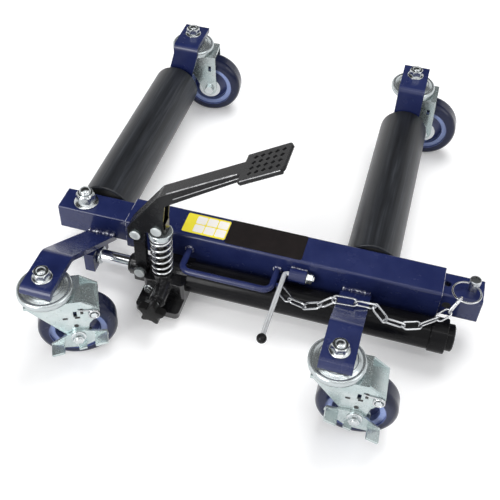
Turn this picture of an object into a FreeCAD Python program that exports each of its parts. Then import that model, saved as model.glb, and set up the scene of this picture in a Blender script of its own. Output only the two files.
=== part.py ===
import FreeCAD, Part
import math
import os
import re
import Sketcher

# Vehicle positioning jack: two rollers on a telescopic beam, drawn together by a foot-pumped ram.
# X runs along the beam, Y to the back and Z up. Pieces are drawn from the outer tube's left end,
# its front face and the floor, and written about the middle of the whole part's base.

# Driving sizes: millimetres, degrees, counts and shares
SIZES = {
    # Beam
    "tube_side": 50,
    "tube_wall": 4.5,
    "tube_corner": 4,
    "outer_length": 432,
    "beam_height": 68,
    "slide_gap": 0.5,
    "inner_wall": 4,
    "inner_corner": 3,
    "inner_out_left": 101.5,
    "inner_out_right": 52,
    "spare_hole_in": 5,
    "lock_hole_in": 37,
    "front_hole_in": 9,
    "front_hole_radius": 6,
    # Rollers
    "roller_radius": 36.5,
    "roller_wall": 4,
    "roller_length": 309.5,
    "roller_height": 63,
    "left_start_gap": 3,
    "right_start_gap": 1.3,
    "roller_end_gap": 0.7,
    "roller_edge": 2,
    "left_roller_out": 50.7,
    "right_roller_in": 98,
    "axle_radius": 10,
    "axle_tail": 4,
    "collar_radius": 14,
    "collar_gap": 0.6,
    "bush_length": 16,
    "bush_recess": 2,
    "bush_gap": 0.05,
    "running_gap": 0.06,
    # Brackets
    "bar_width": 40,
    "bar_thick": 7,
    "plate_height": 139,
    "bend_radius": 9,
    "rear_leg_bottom": 44,
    "left_leg_lean": 15.2,
    "right_leg_lean": 0,
    "rear_stem_out": 34.8,
    "rear_plate_end": 24.5,
    "front_stem_out": 160.5,
    "front_crease": 42,
    "front_plate_end": 23.5,
    "front_bend": 20,
    "lip_drop": 10,
    "left_foot_top": 55,
    "right_foot_top": 61.5,
    "left_front_shift": 12.7,
    "right_front_shift": 9.5,
    "fit_gap": 0.1,
    # Casters
    "wheel_radius": 50,
    "tread_width": 32,
    "tread_depth": 14.2,
    "tread_round": 9,
    "swivel_offset": 32,
    "rim_width": 26,
    "rim_lip": 7.3,
    "rim_seat": 0.02,
    "hub_radius": 13,
    "hub_width": 35,
    "web_hub_thick": 20,
    "web_rim_thick": 9,
    "pivot_radius": 4,
    "washer_radius": 18,
    "washer_thick": 1.5,
    "side_gap": 0.4,
    "hex_radius": 7.5,
    "hex_height": 6,
    "fork_thick": 3,
    "fork_end_radius": 12,
    "fork_top_thick": 5,
    "front_fork_front": 27,
    "rear_fork_front": 17,
    "fork_back": 41,
    "hook_out": 62,
    "hook_top": 95,
    "hook_low": 86,
    "hook_in": 48,
    "hook_foot": 70,
    "fork_slot_width": 4.5,
    "fork_slot_height": 10,
    "fork_slot_drop": 22,
    "crown_radius": 33,
    "crown_height": 2.5,
    "crown_slope_share": 0.5,
    "crown_foot_share": 0.8,
    "cup_radius": 34.4,
    "cup_height": 17.5,
    "cup_step_radius": 29,
    "cup_roll": 4,
    "cup_neck_radius": 14,
    "cup_rim_share": 0.5,
    "cup_slope_share": 0.8,
    "swivel_gap": 0.4,
    "stem_radius": 6,
    "stem_head_radius": 10,
    "stem_head": 4,
    "stem_tail": 3,
    "flange_radius": 12.5,
    "flange_thick": 3,
    "nut_radius": 10.5,
    "nut_height": 8.5,
    "front_left_turn": 26,
    "front_right_turn": 3,
    "rear_left_turn": 6,
    "rear_right_turn": 0,
    # Caster brakes
    "brake_gap": 0.3,
    "brake_thick": 3.2,
    "brake_reach": 36,
    "brake_half": 8,
    "brake_boss": 11,
    "brake_foot": 20,
    "brake_point": 5,
    "front_left_brake_tilt": 12,
    "front_right_brake_tilt": -21,
    "tab_long": 16,
    "tab_out": 17,
    "tab_drop": 3,
    "tab_thick": 3.5,
    "foot_tab_out": 6,
    "shoe_gap": 1.2,
    "shoe_thick": 2.5,
    "shoe_start": 56,
    "shoe_span": 28,
    # Ram
    "ram_out": 23.6,
    "ram_height": 41,
    "cylinder_radius": 21.5,
    "cylinder_wall": 4,
    "cylinder_length": 327,
    "ring_radius": 23.4,
    "ring_length": 22,
    "ring_edge": 1.5,
    "plug_radius": 18,
    "plug_length": 9,
    "plug_depth": 12,
    "plug_edge": 2,
    "rod_radius": 9,
    "rod_inside": 60,
    "piston_length": 18,
    "lug_thick": 14,
    "lug_width": 40,
    "lug_bottom": 26,
    "lug_top": 58,
    "lug_inset": 6,
    "stud_radius": 6,
    "stud_tail": 2,
    "rod_nut_radius": 11,
    "rod_nut_height": 9,
    # Pump block
    "pump_left": 67.5,
    "pump_out": 40,
    "block_left": 44,
    "block_right": 101,
    "block_front": 55,
    "block_bottom": 22,
    "block_top": 52,
    "block_edge": 3,
    "base_left": 40,
    "base_front": 79,
    "base_bottom": 12,
    "barrel_radius": 15,
    "barrel_top": 61,
    "gland_radius": 15.5,
    "gland_left": 18,
    "ear_thick": 4.6,
    "ear_radius": 9,
    "link_thick": 8,
    "link_gap": 0.4,
    "link_radius": 8,
    "link_clear": 1.5,
    "pivot_back": 29,
    "link_base_height": 56,
    "valve_left": 74,
    "valve_height": 45,
    "valve_radius": 11,
    "valve_front": 82,
    "valve_depth": 18,
    # Pump plunger and spring
    "plunger_radius": 6,
    "plunger_bottom": 36,
    "bore_floor": 1.5,
    "plunger_head_long": 20,
    "plunger_head_wide": 13,
    "plunger_head_over": 9,
    "pin_slot_long": 13,
    "pin_slot_gap": 0.5,
    "cap_radius": 16,
    "cap_drop": 18.5,
    "cap_height": 7,
    "cap_edge": 2,
    "spring_radius": 13.2,
    "spring_wire": 3.4,
    "spring_seat_gap": 0.05,
    "spring_turns": 7,
    "spring_end_gap": 0.7,
    # Foot pedal
    "plunger_pin_height": 146.5,
    "pivot_drop": 14.7,
    "pin_radius": 4,
    "pin_head_radius": 6.6,
    "pin_head": 3,
    "cheek_gap": 8.5,
    "cheek_thick": 3.5,
    "cheek_margin": 11.5,
    "cheek_end": 8,
    "cheek_drop": 4.5,
    "cheek_rise": 6,
    "cheek_round": 5,
    "channel_right": 2.6,
    "channel_down": 2.2,
    "elbow_run": 32.5,
    "elbow_rise": 71.2,
    "elbow_round": 12,
    "arm_run": 105,
    "arm_rise": 67,
    "arm_depth": 15,
    "arm_tip_depth": 8,
    "pad_length": 57,
    "pad_width": 50,
    "pad_thick": 4,
    "pad_corner": 6,
    "pad_hole": 5,
    "pad_rows": 5,
    "pad_columns": 4,
    # Release valve
    "release_radius": 5,
    "release_seat": 12,
    "knob_radius": 18,
    "knob_thick": 15,
    "knob_front": 108,
    "knob_lobes": 5,
    "knob_hollow": 9,
    "knob_hollow_out": 24,
    "knob_depth": 9,
    # Carry handle
    "handle_left": 92.5,
    "handle_gap": 18,
    "handle_reach": 40,
    "handle_height": 68.2,
    "handle_radius": 4.5,
    "handle_bend": 12,
    # Latch
    "latch_in": 90.5,
    "sleeve_length": 23,
    "sleeve_radius": 9,
    "sleeve_foot": 9,
    "latch_height": 74.5,
    "latch_shaft": 3.2,
    "lever_inset": 6,
    "lever_reach": 121,
    "lever_rise": 10,
    "lever_bend": 4.5,
    "ball_radius": 6.5,
    "washer_out": 1.6,
    "latch_nut_radius": 7.5,
    "latch_nut_height": 7,
    "latch_tail": 2,
    # Flange bolt through the inner tube
    "bolt_left": 67.5,
    "big_bolt_radius": 8,
    "big_flange_radius": 17,
    "big_flange": 4,
    "big_hex_radius": 13.5,
    "big_hex": 14,
    "big_tail": 7,
    "big_head": 9,
    # Lock pin, ring and chain
    "lock_radius": 4.5,
    "lock_tail": 4,
    "lock_neck_radius": 5.5,
    "lock_neck": 12,
    "lock_head_radius": 7.5,
    "lock_head": 7,
    "lock_head_edge": 1.5,
    "ring_hole_up": 8,
    "ring_hole_gap": 0.4,
    "chain_wire": 1.35,
    "chain_half": 5.2,
    "chain_gap": 0.3,
    "chain_eye": 3.8,
    "chain_eye_out": 9.6,
    "chain_lean": 12,
    # Shared by all cuts
    "overrun": 2,
}

# Places of the chain's joints, from the eye on the handle's right leg to the lock pin's ring:
# shares of the way from the eye to the lock pin, of the handle's reach out to the front, and of
# the beam's height
CHAIN_SHARES = [
    (0.0001, 0.763, 0.996),
    (0.0739, 1.163, 0.993),
    (0.1643, 1.450, 1.122),
    (0.2470, 1.640, 1.382),
    (0.3135, 1.640, 1.640),
    (0.4231, 1.603, 1.647),
    (0.5177, 1.388, 1.525),
    (0.5873, 1.425, 1.252),
    (0.6819, 1.325, 1.144),
    (0.7672, 1.013, 1.054),
    (0.8482, 0.650, 1.097),
    (0.9002, 0.408, 1.206),
    (0.9397, 0.138, 1.441),
]
SAME = 1e-6

doc = FreeCAD.newDocument("positioning_jack")
sheet = doc.addObject("Spreadsheet::Sheet", "Sizes")
for row, (alias, value) in enumerate(SIZES.items(), start=1):
    sheet.set(f"A{row}", alias)
    sheet.set(f"B{row}", str(value))
    sheet.setAlias(f"B{row}", alias)
doc.recompute()

# Sizes that follow from the driving ones
INNER_SIDE = "(tube_side - 2 * tube_wall - 2 * slide_gap)"
INNER_FRONT = "(tube_wall + slide_gap)"
TUBE_TOP = "(beam_height + tube_side / 2)"
INNER_TOP = f"(beam_height + {INNER_SIDE} / 2)"
INNER_BOTTOM = f"(beam_height - {INNER_SIDE} / 2)"
INNER_RIGHT = "(outer_length + inner_out_right)"
MID_Y = "(tube_side / 2)"
INNER_BACK = f"({INNER_FRONT} + {INNER_SIDE})"
LEFT_X = "(-left_roller_out)"
RIGHT_X = "(outer_length - right_roller_in)"
LEFT_REAR_X = f"({LEFT_X} + left_leg_lean)"
RIGHT_REAR_X = f"({RIGHT_X} + right_leg_lean)"
LEG_FRONT = "(tube_side + right_start_gap + roller_length + roller_end_gap)"
LEG_BACK = f"({LEG_FRONT} + bar_thick)"
REAR_STEM = f"({LEG_BACK} + rear_stem_out)"
FRONT_STEM = "(-front_stem_out)"
LEFT_FRONT_X = f"({LEFT_X} + left_front_shift)"
RIGHT_FRONT_X = f"({RIGHT_X} - right_front_shift)"
PLATE_LOW = "(plate_height - bar_thick)"
CUP_LOW = f"({PLATE_LOW} - cup_height)"
CROWN_TOP = f"({CUP_LOW} - swivel_gap)"
CROWN_LOW = f"({CROWN_TOP} - crown_height)"
FORK_TOP_LOW = f"({CROWN_LOW} - fork_top_thick)"
RIM_RADIUS = "(wheel_radius - tread_depth)"
FORK_IN = "(hub_width / 2 + side_gap + washer_thick)"
FORK_OUT = f"({FORK_IN} + fork_thick)"
BRAKE_OUT = f"({FORK_OUT} + brake_gap + brake_thick)"
PIVOT_BORE = "(pivot_radius + running_gap)"
PIVOT_X = "(pump_left - pivot_back)"
ARM_LENGTH = "sqrt(arm_run * arm_run + arm_rise * arm_rise)"
PIVOT_Z = "(plunger_pin_height - pivot_drop)"
CAP_BOTTOM = "(plunger_pin_height - cap_drop)"
LATCH_Y = "(-sleeve_radius)"
SLEEVE_LEFT = f"({RIGHT_FRONT_X} - latch_in)"
SLEEVE_RIGHT = f"({SLEEVE_LEFT} + sleeve_length)"
HANDLE_RIGHT = f"({SLEEVE_LEFT} - handle_gap)"
LOCK_X = "(outer_length + lock_hole_in)"
BOLT_X = "(-bolt_left)"

AXIS_TURNS = {
    "X": FreeCAD.Rotation(FreeCAD.Vector(0, 1, 0), 90),
    "Y": FreeCAD.Rotation(FreeCAD.Vector(1, 0, 0), -90),
    "Z": FreeCAD.Rotation(),
}


def size(alias):
    """A driving size as the sheet holds it."""
    return float(sheet.get(alias))


def value(text):
    """A size that follows from the driving ones, as the sheet holds them."""
    return sheet.evalExpression(re.sub(r"[a-z][a-z_]*", lambda m: "Sizes." + m.group(), text))


def bind(thing, prop, text):
    """Bind a property to the sheet; names of sizes in the text become its cells."""
    names = re.compile(r"[a-z][a-z_]*")
    cells = names.sub(lambda m: "Sizes." + m.group() if m.group() in SIZES else m.group(), text)
    thing.setExpression(prop, cells)


def place(thing, x="0", y="0", z="0"):
    for letter, text in zip("xyz", (x, y, z)):
        bind(thing, f"Placement.Base.{letter}", text)
    return thing


def box(name, x, y, z):
    """Box between two places along each axis."""
    thing = doc.addObject("Part::Box", name)
    for prop, (low, high) in zip(("Length", "Width", "Height"), (x, y, z)):
        bind(thing, prop, f"({high}) - ({low})")
    return place(thing, x[0], y[0], z[0])


def rod(name, axis, start, length, radius):
    """Cylinder along an axis."""
    thing = doc.addObject("Part::Cylinder", name)
    bind(thing, "Radius", radius)
    bind(thing, "Height", length)
    thing.Placement = FreeCAD.Placement(FreeCAD.Vector(), AXIS_TURNS[axis])
    return place(thing, *start)


def hexagon(name, axis, start, length, radius):
    """Hexagonal prism along an axis, sized over its corners."""
    thing = doc.addObject("Part::Prism", name)
    thing.Polygon = 6
    bind(thing, "Circumradius", radius)
    bind(thing, "Height", length)
    thing.Placement = FreeCAD.Placement(FreeCAD.Vector(), AXIS_TURNS[axis])
    return place(thing, *start)


def fuse(name, *shapes):
    thing = doc.addObject("Part::MultiFuse", name)
    thing.Shapes = list(shapes)
    thing.Refine = True
    return thing


def cut(name, base, *tools):
    thing = doc.addObject("Part::Cut", name)
    thing.Base = base
    thing.Tool = tools[0] if len(tools) == 1 else fuse(f"{name}_tools", *tools)
    thing.Refine = True
    return thing


def group(name, *shapes):
    """Separate solids in one sub-part."""
    thing = doc.addObject("Part::Compound", name)
    thing.Links = list(shapes)
    return thing


def copy(name, pattern, x="0", y="0", z="0", turn="0", axis=FreeCAD.Vector(0, 0, 1)):
    """A pattern piece, turned about an axis through its own origin and set in its place."""
    thing = group(name, pattern)
    thing.Placement = FreeCAD.Placement(FreeCAD.Vector(), FreeCAD.Rotation(axis, 1))
    bind(thing, "Placement.Rotation.Angle", turn)
    return place(thing, x, y, z)


def outline(body, plane, points):
    """Closed sketch of straight runs on one of a body's planes, every corner tied to the sheet."""
    sketch = body.newObject("Sketcher::SketchObject", f"{body.Name}_outline")
    role = next(o for o in body.Origin.OriginFeatures if o.Role == f"{plane}_Plane")
    sketch.AttachmentSupport = [(role, "")]
    sketch.MapMode = "FlatFace"
    count = len(points)
    ring = [FreeCAD.Vector(math.cos(2 * math.pi * i / count), math.sin(2 * math.pi * i / count), 0)
            for i in range(count)]
    for i in range(count):
        sketch.addGeometry(Part.LineSegment(ring[i], ring[(i + 1) % count]), False)
    for i in range(count):
        sketch.addConstraint(Sketcher.Constraint("Coincident", i, 2, (i + 1) % count, 1))
    for i, pair in enumerate(points):
        for kind, text in zip(("DistanceX", "DistanceY"), pair):
            number = sketch.addConstraint(Sketcher.Constraint(kind, -1, 1, i, 1, 1.0))
            sketch.renameConstraint(number, f"{kind}_{i}")
            bind(sketch, f"Constraints.{kind}_{i}", text)
    return sketch


def rounded(body, feature, sketch, rounds, along):
    """Fillet the edges that start from the given corners of a feature's sketch."""
    for corners, radius in rounds:
        spots = [sketch.Placement.multVec(sketch.Geometry[i].StartPoint) for i in corners]
        names = [f"Edge{n}" for n, edge in enumerate(feature.Shape.Edges, start=1)
                 if along(edge, spots)]
        fillet = body.newObject("PartDesign::Fillet", f"{body.Name}_round")
        fillet.Base = (feature, names)
        bind(fillet, "Radius", radius)
        doc.recompute()
        feature = fillet


def prism(name, plane, points, low, high, rounds=()):
    """Profile on the XY, XZ or YZ plane, padded between two places along the third axis."""
    body = doc.addObject("PartDesign::Body", name)
    sketch = outline(body, plane, points)
    start = f"-({high})" if plane == "XZ" else low
    bind(sketch, "AttachmentOffset.Base.z", start)
    pad = body.newObject("PartDesign::Pad", f"{name}_pad")
    pad.Profile = sketch
    bind(pad, "Length", f"({high}) - ({low})")
    doc.recompute()
    normals = {"XY": FreeCAD.Vector(0, 0, 1), "XZ": FreeCAD.Vector(0, 1, 0), "YZ": FreeCAD.Vector(1, 0, 0)}
    normal = normals[plane]

    def along(edge, spots):
        if len(edge.Vertexes) < 2:
            return False
        ends = [v.Point for v in edge.Vertexes]
        if (ends[1] - ends[0]).cross(normal).Length > SAME:
            return False
        flat = [e - normal * e.dot(normal) for e in ends]
        return any((flat[0] - (s - normal * s.dot(normal))).Length < SAME for s in spots)

    rounded(body, pad, sketch, rounds, along)
    return body


def turned(name, plane, axis, points, rounds=()):
    """Profile turned about its sketch's upright (V) or level (H) axis."""
    body = doc.addObject("PartDesign::Body", name)
    sketch = outline(body, plane, points)
    spin = body.newObject("PartDesign::Revolution", f"{name}_turn")
    spin.Profile = sketch
    spin.ReferenceAxis = (sketch, [f"{axis}_Axis"])
    spin.Angle = 360
    doc.recompute()

    def along(edge, spots):
        if not isinstance(edge.Curve, Part.Circle):
            return False
        return any(abs((s - edge.Curve.Center).Length - edge.Curve.Radius) < SAME
                   and abs((s - edge.Curve.Center).dot(edge.Curve.Axis)) < SAME for s in spots)

    rounded(body, spin, sketch, rounds, along)
    return body


def rectangle(u, v):
    return [(u[0], v[0]), (u[1], v[0]), (u[1], v[1]), (u[0], v[1])]


def bent_bar(points, bend, radius):
    """Round bar through the given places, with one bend radius at each inner place."""
    edges = []
    last = points[0]
    for before, corner, after in zip(points, points[1:], points[2:]):
        into = (corner - before).normalize()
        out = (after - corner).normalize()
        half = into.getAngle(out) / 2
        reach = bend * math.tan(half)
        start = corner - into * reach
        end = corner + out * reach
        inward = (out - into).normalize()
        middle = corner + inward * (bend / math.cos(half) - bend)
        edges.append(Part.LineSegment(last, start).toShape())
        edges.append(Part.Arc(start, middle, end).toShape())
        last = end
    edges.append(Part.LineSegment(last, points[-1]).toShape())
    path = Part.Wire(edges)
    section = Part.Wire(Part.makeCircle(radius, points[0], points[1] - points[0]))
    return path.makePipeShell([section], True, False)


def shape_of(name, shape):
    thing = doc.addObject("Part::Feature", name)
    thing.Shape = shape
    thing.Placement = FreeCAD.Placement()
    return thing


# Beam
def square_tube(name, front, side, wall, corner, left, right):
    low = f"(beam_height - {side} / 2)"
    outer = rectangle((front, f"{front} + {side}"), (low, f"{low} + {side}"))
    inner = rectangle((f"{front} + {wall}", f"{front} + {side} - {wall}"),
                      (f"{low} + {wall}", f"{low} + {side} - {wall}"))
    every = range(4)
    skin = prism(f"{name}_skin", "YZ", outer, left, right, [(every, corner)])
    bore = prism(f"{name}_bore", "YZ", inner, f"({left}) - overrun", f"({right}) + overrun",
                 [(every, f"{corner} / 2")])
    return cut(f"{name}_blank", skin, bore)


outer_tube = square_tube("outer_tube", "0", "tube_side", "tube_wall", "tube_corner", "0", "outer_length")
outer_tube.Label = "outer_tube"

inner_blank = square_tube("inner_tube", INNER_FRONT, INNER_SIDE, "inner_wall", "inner_corner",
                          "-inner_out_left", INNER_RIGHT)
through = f"({INNER_BOTTOM} - overrun)"
depth = f"({INNER_SIDE} + 2 * overrun)"
inner_tube = cut(
    "inner_tube", inner_blank,
    rod("spare_hole", "Z", ("outer_length + spare_hole_in", MID_Y, through), depth, "lock_radius + fit_gap"),
    rod("lock_hole", "Z", (LOCK_X, MID_Y, through), depth, "lock_radius + running_gap"),
    rod("bolt_hole", "Z", (BOLT_X, MID_Y, through), depth, "big_bolt_radius + fit_gap"),
    rod("front_hole", "Y", ("outer_length + front_hole_in", f"{INNER_FRONT} - overrun", "beam_height"),
        "inner_wall + 2 * overrun", "front_hole_radius"))

arm_bolt = fuse(
    "arm_bolt",
    rod("bolt_shank", "Z", (BOLT_X, MID_Y, f"{INNER_BOTTOM} - big_head"),
        f"{INNER_SIDE} + big_head + big_flange + big_hex + big_tail", "big_bolt_radius"),
    rod("bolt_flange", "Z", (BOLT_X, MID_Y, INNER_TOP), "big_flange", "big_flange_radius"),
    hexagon("bolt_nut", "Z", (BOLT_X, MID_Y, f"{INNER_TOP} + big_flange"), "big_hex", "big_hex_radius"),
    hexagon("bolt_head", "Z", (BOLT_X, MID_Y, f"{INNER_BOTTOM} - big_head"), "big_head", "big_hex_radius"))


# Rollers on their axles
def roller(side, x, tube_back):
    first = f"({tube_back} + {side}_start_gap)"
    last = f"({first} + roller_length)"
    collar_end = f"({first} - collar_gap)"
    axle = turned(f"{side}_roller_axle", "XY", "V", [
        ("0", tube_back), ("collar_radius", tube_back), ("collar_radius", collar_end),
        ("axle_radius", collar_end), ("axle_radius", f"{LEG_BACK} + axle_tail"),
        ("0", f"{LEG_BACK} + axle_tail")])
    shell = turned(f"{side}_roller", "XY", "V", [
        ("roller_radius - roller_wall", first), ("roller_radius", first),
        ("roller_radius", last), ("roller_radius - roller_wall", last)],
        [((1, 2), "roller_edge")])
    bushes = []
    starts = (f"{first} + bush_recess", f"{last} - bush_recess - bush_length")
    for end, start in zip(("near", "far"), starts):
        bushes.append(turned(f"{side}_{end}_bush", "XY", "V", [
            ("axle_radius + running_gap", start), ("roller_radius - roller_wall - bush_gap", start),
            ("roller_radius - roller_wall - bush_gap", f"{start} + bush_length"),
            ("axle_radius + running_gap", f"{start} + bush_length")]))
    for piece in [axle, shell] + bushes:
        place(piece, x, "0", "roller_height")
    group(f"{side}_roller_bushes", *bushes)


roller("left", LEFT_X, INNER_BACK)
roller("right", RIGHT_X, "tube_side")


# Brackets of bent flat bar
def rear_bracket(side, x, axle_x):
    """Plate bent down into a short upright, and below it the leg that leans over to the axle."""
    leg_top = f"({PLATE_LOW} - bend_radius)"
    profile = [
        (LEG_FRONT, leg_top), (LEG_FRONT, "plate_height"),
        (f"{REAR_STEM} + rear_plate_end", "plate_height"), (f"{REAR_STEM} + rear_plate_end", PLATE_LOW),
        (LEG_BACK, PLATE_LOW), (LEG_BACK, leg_top)]
    bar = prism(f"{side}_rear_bar", "YZ", profile, f"{x} - bar_width / 2", f"{x} + bar_width / 2",
                [((1,), "bend_radius"), ((4,), "bend_radius - bar_thick")])
    foot_x = f"({x} - {side}_leg_lean * ({leg_top} - rear_leg_bottom) / ({leg_top} - roller_height))"
    leg = prism(f"{side}_rear_leg", "XZ", [
        (f"{x} - bar_width / 2", leg_top), (f"{x} + bar_width / 2", leg_top),
        (f"{foot_x} + bar_width / 2", "rear_leg_bottom"), (f"{foot_x} - bar_width / 2", "rear_leg_bottom")],
        LEG_FRONT, LEG_BACK)
    cut(f"{side}_rear_bracket", fuse(f"{side}_rear_blank", bar, leg),
        rod(f"{side}_rear_stem_hole", "Z", (x, REAR_STEM, f"{PLATE_LOW} - overrun"),
            "bar_thick + 2 * overrun", "stem_radius + fit_gap"),
        rod(f"{side}_rear_axle_hole", "Y", (axle_x, f"{LEG_FRONT} - overrun", "roller_height"),
            "bar_thick + 2 * overrun", "axle_radius + fit_gap"))


def front_bracket(side, x, foot_y, foot_top):
    crease = "(front_crease - front_stem_out)"
    end = "(-front_stem_out - front_plate_end)"
    fall = f"((plate_height - {foot_top}) / ({foot_y} - {crease}))"
    steep = f"sqrt(1 + {fall} * {fall})"
    profile = [
        (end, "plate_height - lip_drop"), (end, "plate_height"), (crease, "plate_height"),
        (foot_y, foot_top), (foot_y, f"{foot_top} - bar_thick * {steep}"),
        (f"{crease} - bar_thick * ({steep} - 1) / {fall}", PLATE_LOW),
        (f"{end} + bar_thick", PLATE_LOW), (f"{end} + bar_thick", "plate_height - lip_drop")]
    bar = prism(f"{side}_front_bar", "YZ", profile, f"{x} - bar_width / 2", f"{x} + bar_width / 2",
                [((1,), "bend_radius"), ((2,), "front_bend"), ((5,), "front_bend - bar_thick"),
                 ((6,), "bend_radius - bar_thick")])
    return bar, rod(f"{side}_front_stem_hole", "Z", (x, FRONT_STEM, f"{PLATE_LOW} - overrun"),
                    "bar_thick + 2 * overrun", "stem_radius + fit_gap")


rear_bracket("left", LEFT_REAR_X, LEFT_X)
rear_bracket("right", RIGHT_REAR_X, RIGHT_X)

right_bar, right_hole = front_bracket("right", RIGHT_FRONT_X, "0", "right_foot_top")
cut("right_front_bracket", right_bar, right_hole)

LUG_RIGHT = f"({LEFT_FRONT_X} + lug_inset)"
LUG_LEFT = f"({LUG_RIGHT} - lug_thick)"
left_bar, left_hole = front_bracket("left", LEFT_FRONT_X, INNER_FRONT, "left_foot_top")
lug = box("rod_lug", (LUG_LEFT, LUG_RIGHT), ("-ram_out - lug_width / 2", INNER_FRONT),
          ("lug_bottom", "lug_top"))
cut("left_front_bracket", fuse("left_bar_and_lug", left_bar, lug), left_hole,
    rod("stud_hole", "X", (f"{LUG_LEFT} - overrun", "-ram_out", "ram_height"), "lug_thick + 2 * overrun",
        "stud_radius + fit_gap"))


# Casters: drawn about the swivel axis with the wheel trailing along X, then set in their places
def upright(name, points, rounds=()):
    return turned(name, "XZ", "V", points, rounds)


cup = upright("cup_pattern", [
    ("stem_radius + fit_gap", CUP_LOW), ("cup_radius", CUP_LOW),
    ("cup_radius", f"{CUP_LOW} + cup_height * cup_rim_share"),
    ("cup_step_radius", f"{CUP_LOW} + cup_height * cup_rim_share"),
    ("cup_neck_radius", f"{CUP_LOW} + cup_height * cup_slope_share"),
    ("cup_neck_radius", PLATE_LOW), ("stem_radius + fit_gap", PLATE_LOW)], [((2,), "cup_roll")])
stem = fuse(
    "stem_pattern",
    rod("stem_shank", "Z", ("0", "0", f"{CROWN_LOW} - stem_head"),
        f"plate_height - {CROWN_LOW} + stem_head + flange_thick + nut_height + stem_tail", "stem_radius"),
    rod("stem_head_disc", "Z", ("0", "0", f"{CROWN_LOW} - fork_top_thick - stem_head"), "stem_head",
        "stem_head_radius"),
    rod("stem_neck", "Z", ("0", "0", f"{CROWN_LOW} - fork_top_thick - stem_head"),
        "fork_top_thick + stem_head", "stem_radius"),
    rod("stem_flange", "Z", ("0", "0", "plate_height"), "flange_thick", "flange_radius"),
    hexagon("stem_nut", "Z", ("0", "0", "plate_height + flange_thick"), "nut_height", "nut_radius"))
crown = upright("crown", [
    ("0", CROWN_TOP), ("crown_radius", CROWN_TOP),
    ("crown_radius", f"{CROWN_TOP} - crown_height * crown_slope_share"),
    ("crown_radius * crown_foot_share", CROWN_LOW), ("0", CROWN_LOW)])
SHOE_IN = "(wheel_radius + shoe_gap)"
shoe = doc.addObject("Part::Cylinder", "shoe_blank")
bind(shoe, "Radius", f"{SHOE_IN} + shoe_thick")
bind(shoe, "Height", f"2 * {FORK_OUT}")
bind(shoe, "Angle", "shoe_span")
shoe.Placement = FreeCAD.Placement(FreeCAD.Vector(), FreeCAD.Rotation(FreeCAD.Vector(1, 0, 0), 90))
place(shoe, "0", FORK_OUT, "0")
shoe_ring = cut("shoe_ring", shoe, rod("shoe_inside", "Y", ("0", f"-{FORK_OUT} - overrun", "0"),
                                       f"2 * ({FORK_OUT} + overrun)", SHOE_IN))
brake_shoe = copy("brake_shoe", shoe_ring, "swivel_offset", "0", "wheel_radius", "-shoe_start",
                  FreeCAD.Vector(0, 1, 0))
hook = [("hook_out", "hook_top"), ("hook_out", "hook_low"), ("hook_in", "hook_foot")]


def caster_fork(end, back_edge, *extra):
    """Crown, bridge and two side plates, with the holes for the stem and the axle."""
    profile = [(f"-{end}_fork_front", CROWN_LOW), ("fork_back", CROWN_LOW), *back_edge,
               ("swivel_offset + fork_end_radius", "wheel_radius"),
               ("swivel_offset - fork_end_radius", "wheel_radius")]
    pieces = [crown, box(f"{end}_bridge", (f"-{end}_fork_front", "fork_back"), (f"-{FORK_OUT}", FORK_OUT),
                         (FORK_TOP_LOW, CROWN_LOW)), *extra]
    for hand, low, high in (("near", f"-{FORK_OUT}", f"-{FORK_IN}"), ("far", FORK_IN, FORK_OUT)):
        pieces.append(prism(f"{end}_{hand}_fork_leg", "XZ", profile, low, high))
        pieces.append(rod(f"{end}_{hand}_fork_end", "Y", ("swivel_offset", low, "wheel_radius"), "fork_thick",
                          "fork_end_radius"))
    slot_low = f"({FORK_TOP_LOW} - fork_slot_drop)"
    return cut(
        f"{end}_fork_pattern", fuse(f"{end}_fork_blank", *pieces),
        box(f"{end}_fork_slot",
            ("swivel_offset - fork_slot_width / 2", "swivel_offset + fork_slot_width / 2"),
            (f"-{FORK_OUT} - overrun", f"{FORK_OUT} + overrun"),
            (slot_low, f"{slot_low} + fork_slot_height")),
        rod(f"{end}_stem_hole", "Z", ("0", "0", f"{FORK_TOP_LOW} - overrun"),
            "fork_top_thick + crown_height + 2 * overrun", "stem_radius + running_gap"),
        rod(f"{end}_axle_hole", "Y", ("swivel_offset", f"-{FORK_OUT} - overrun", "wheel_radius"),
            f"2 * {FORK_OUT} + 2 * overrun", "pivot_radius + fit_gap"))


front_fork = caster_fork("front", hook, brake_shoe)
rear_fork = caster_fork("rear", [])


def wheel_axle(name, near):
    """Axle bolt with its washers, head on the near side and nut on the far side."""
    def along(label, kind, start, length, radius):
        return kind(f"{name}_{label}", "Y", ("swivel_offset", start, "wheel_radius"), length, radius)
    return fuse(
        name,
        along("shank", rod, f"-{near}", f"{near} + {FORK_OUT}", "pivot_radius"),
        along("near_washer", rod, f"-{FORK_IN}", "washer_thick", "washer_radius"),
        along("far_washer", rod, f"{FORK_IN} - washer_thick", "washer_thick", "washer_radius"),
        along("head", hexagon, f"-({near}) - hex_height", "hex_height", "hex_radius"),
        along("nut", hexagon, FORK_OUT, "hex_height", "hex_radius"))


rear_axle = wheel_axle("rear_axle_pattern", FORK_OUT)
front_axle = wheel_axle("front_axle_pattern", f"({BRAKE_OUT} + brake_gap)")

half_points = [
    (PIVOT_BORE, "hub_width / 2"), ("hub_radius", "hub_width / 2"), ("hub_radius", "web_hub_thick / 2"),
    (f"{RIM_RADIUS} - rim_lip", "web_rim_thick / 2"), (f"{RIM_RADIUS} - rim_lip", "rim_width / 2"),
    (f"{RIM_RADIUS} - rim_seat", "rim_width / 2")]
hub = turned("hub_pattern", "XY", "V",
             half_points + [(r, f"-({y})") for r, y in reversed(half_points)])
tread = turned("tread_pattern", "XY", "V",
               rectangle((RIM_RADIUS, "wheel_radius"), ("-tread_width / 2", "tread_width / 2")),
               [((1, 2), "tread_round")])
for part in (hub, tread):
    place(part, "swivel_offset", "0", "wheel_radius")

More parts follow.
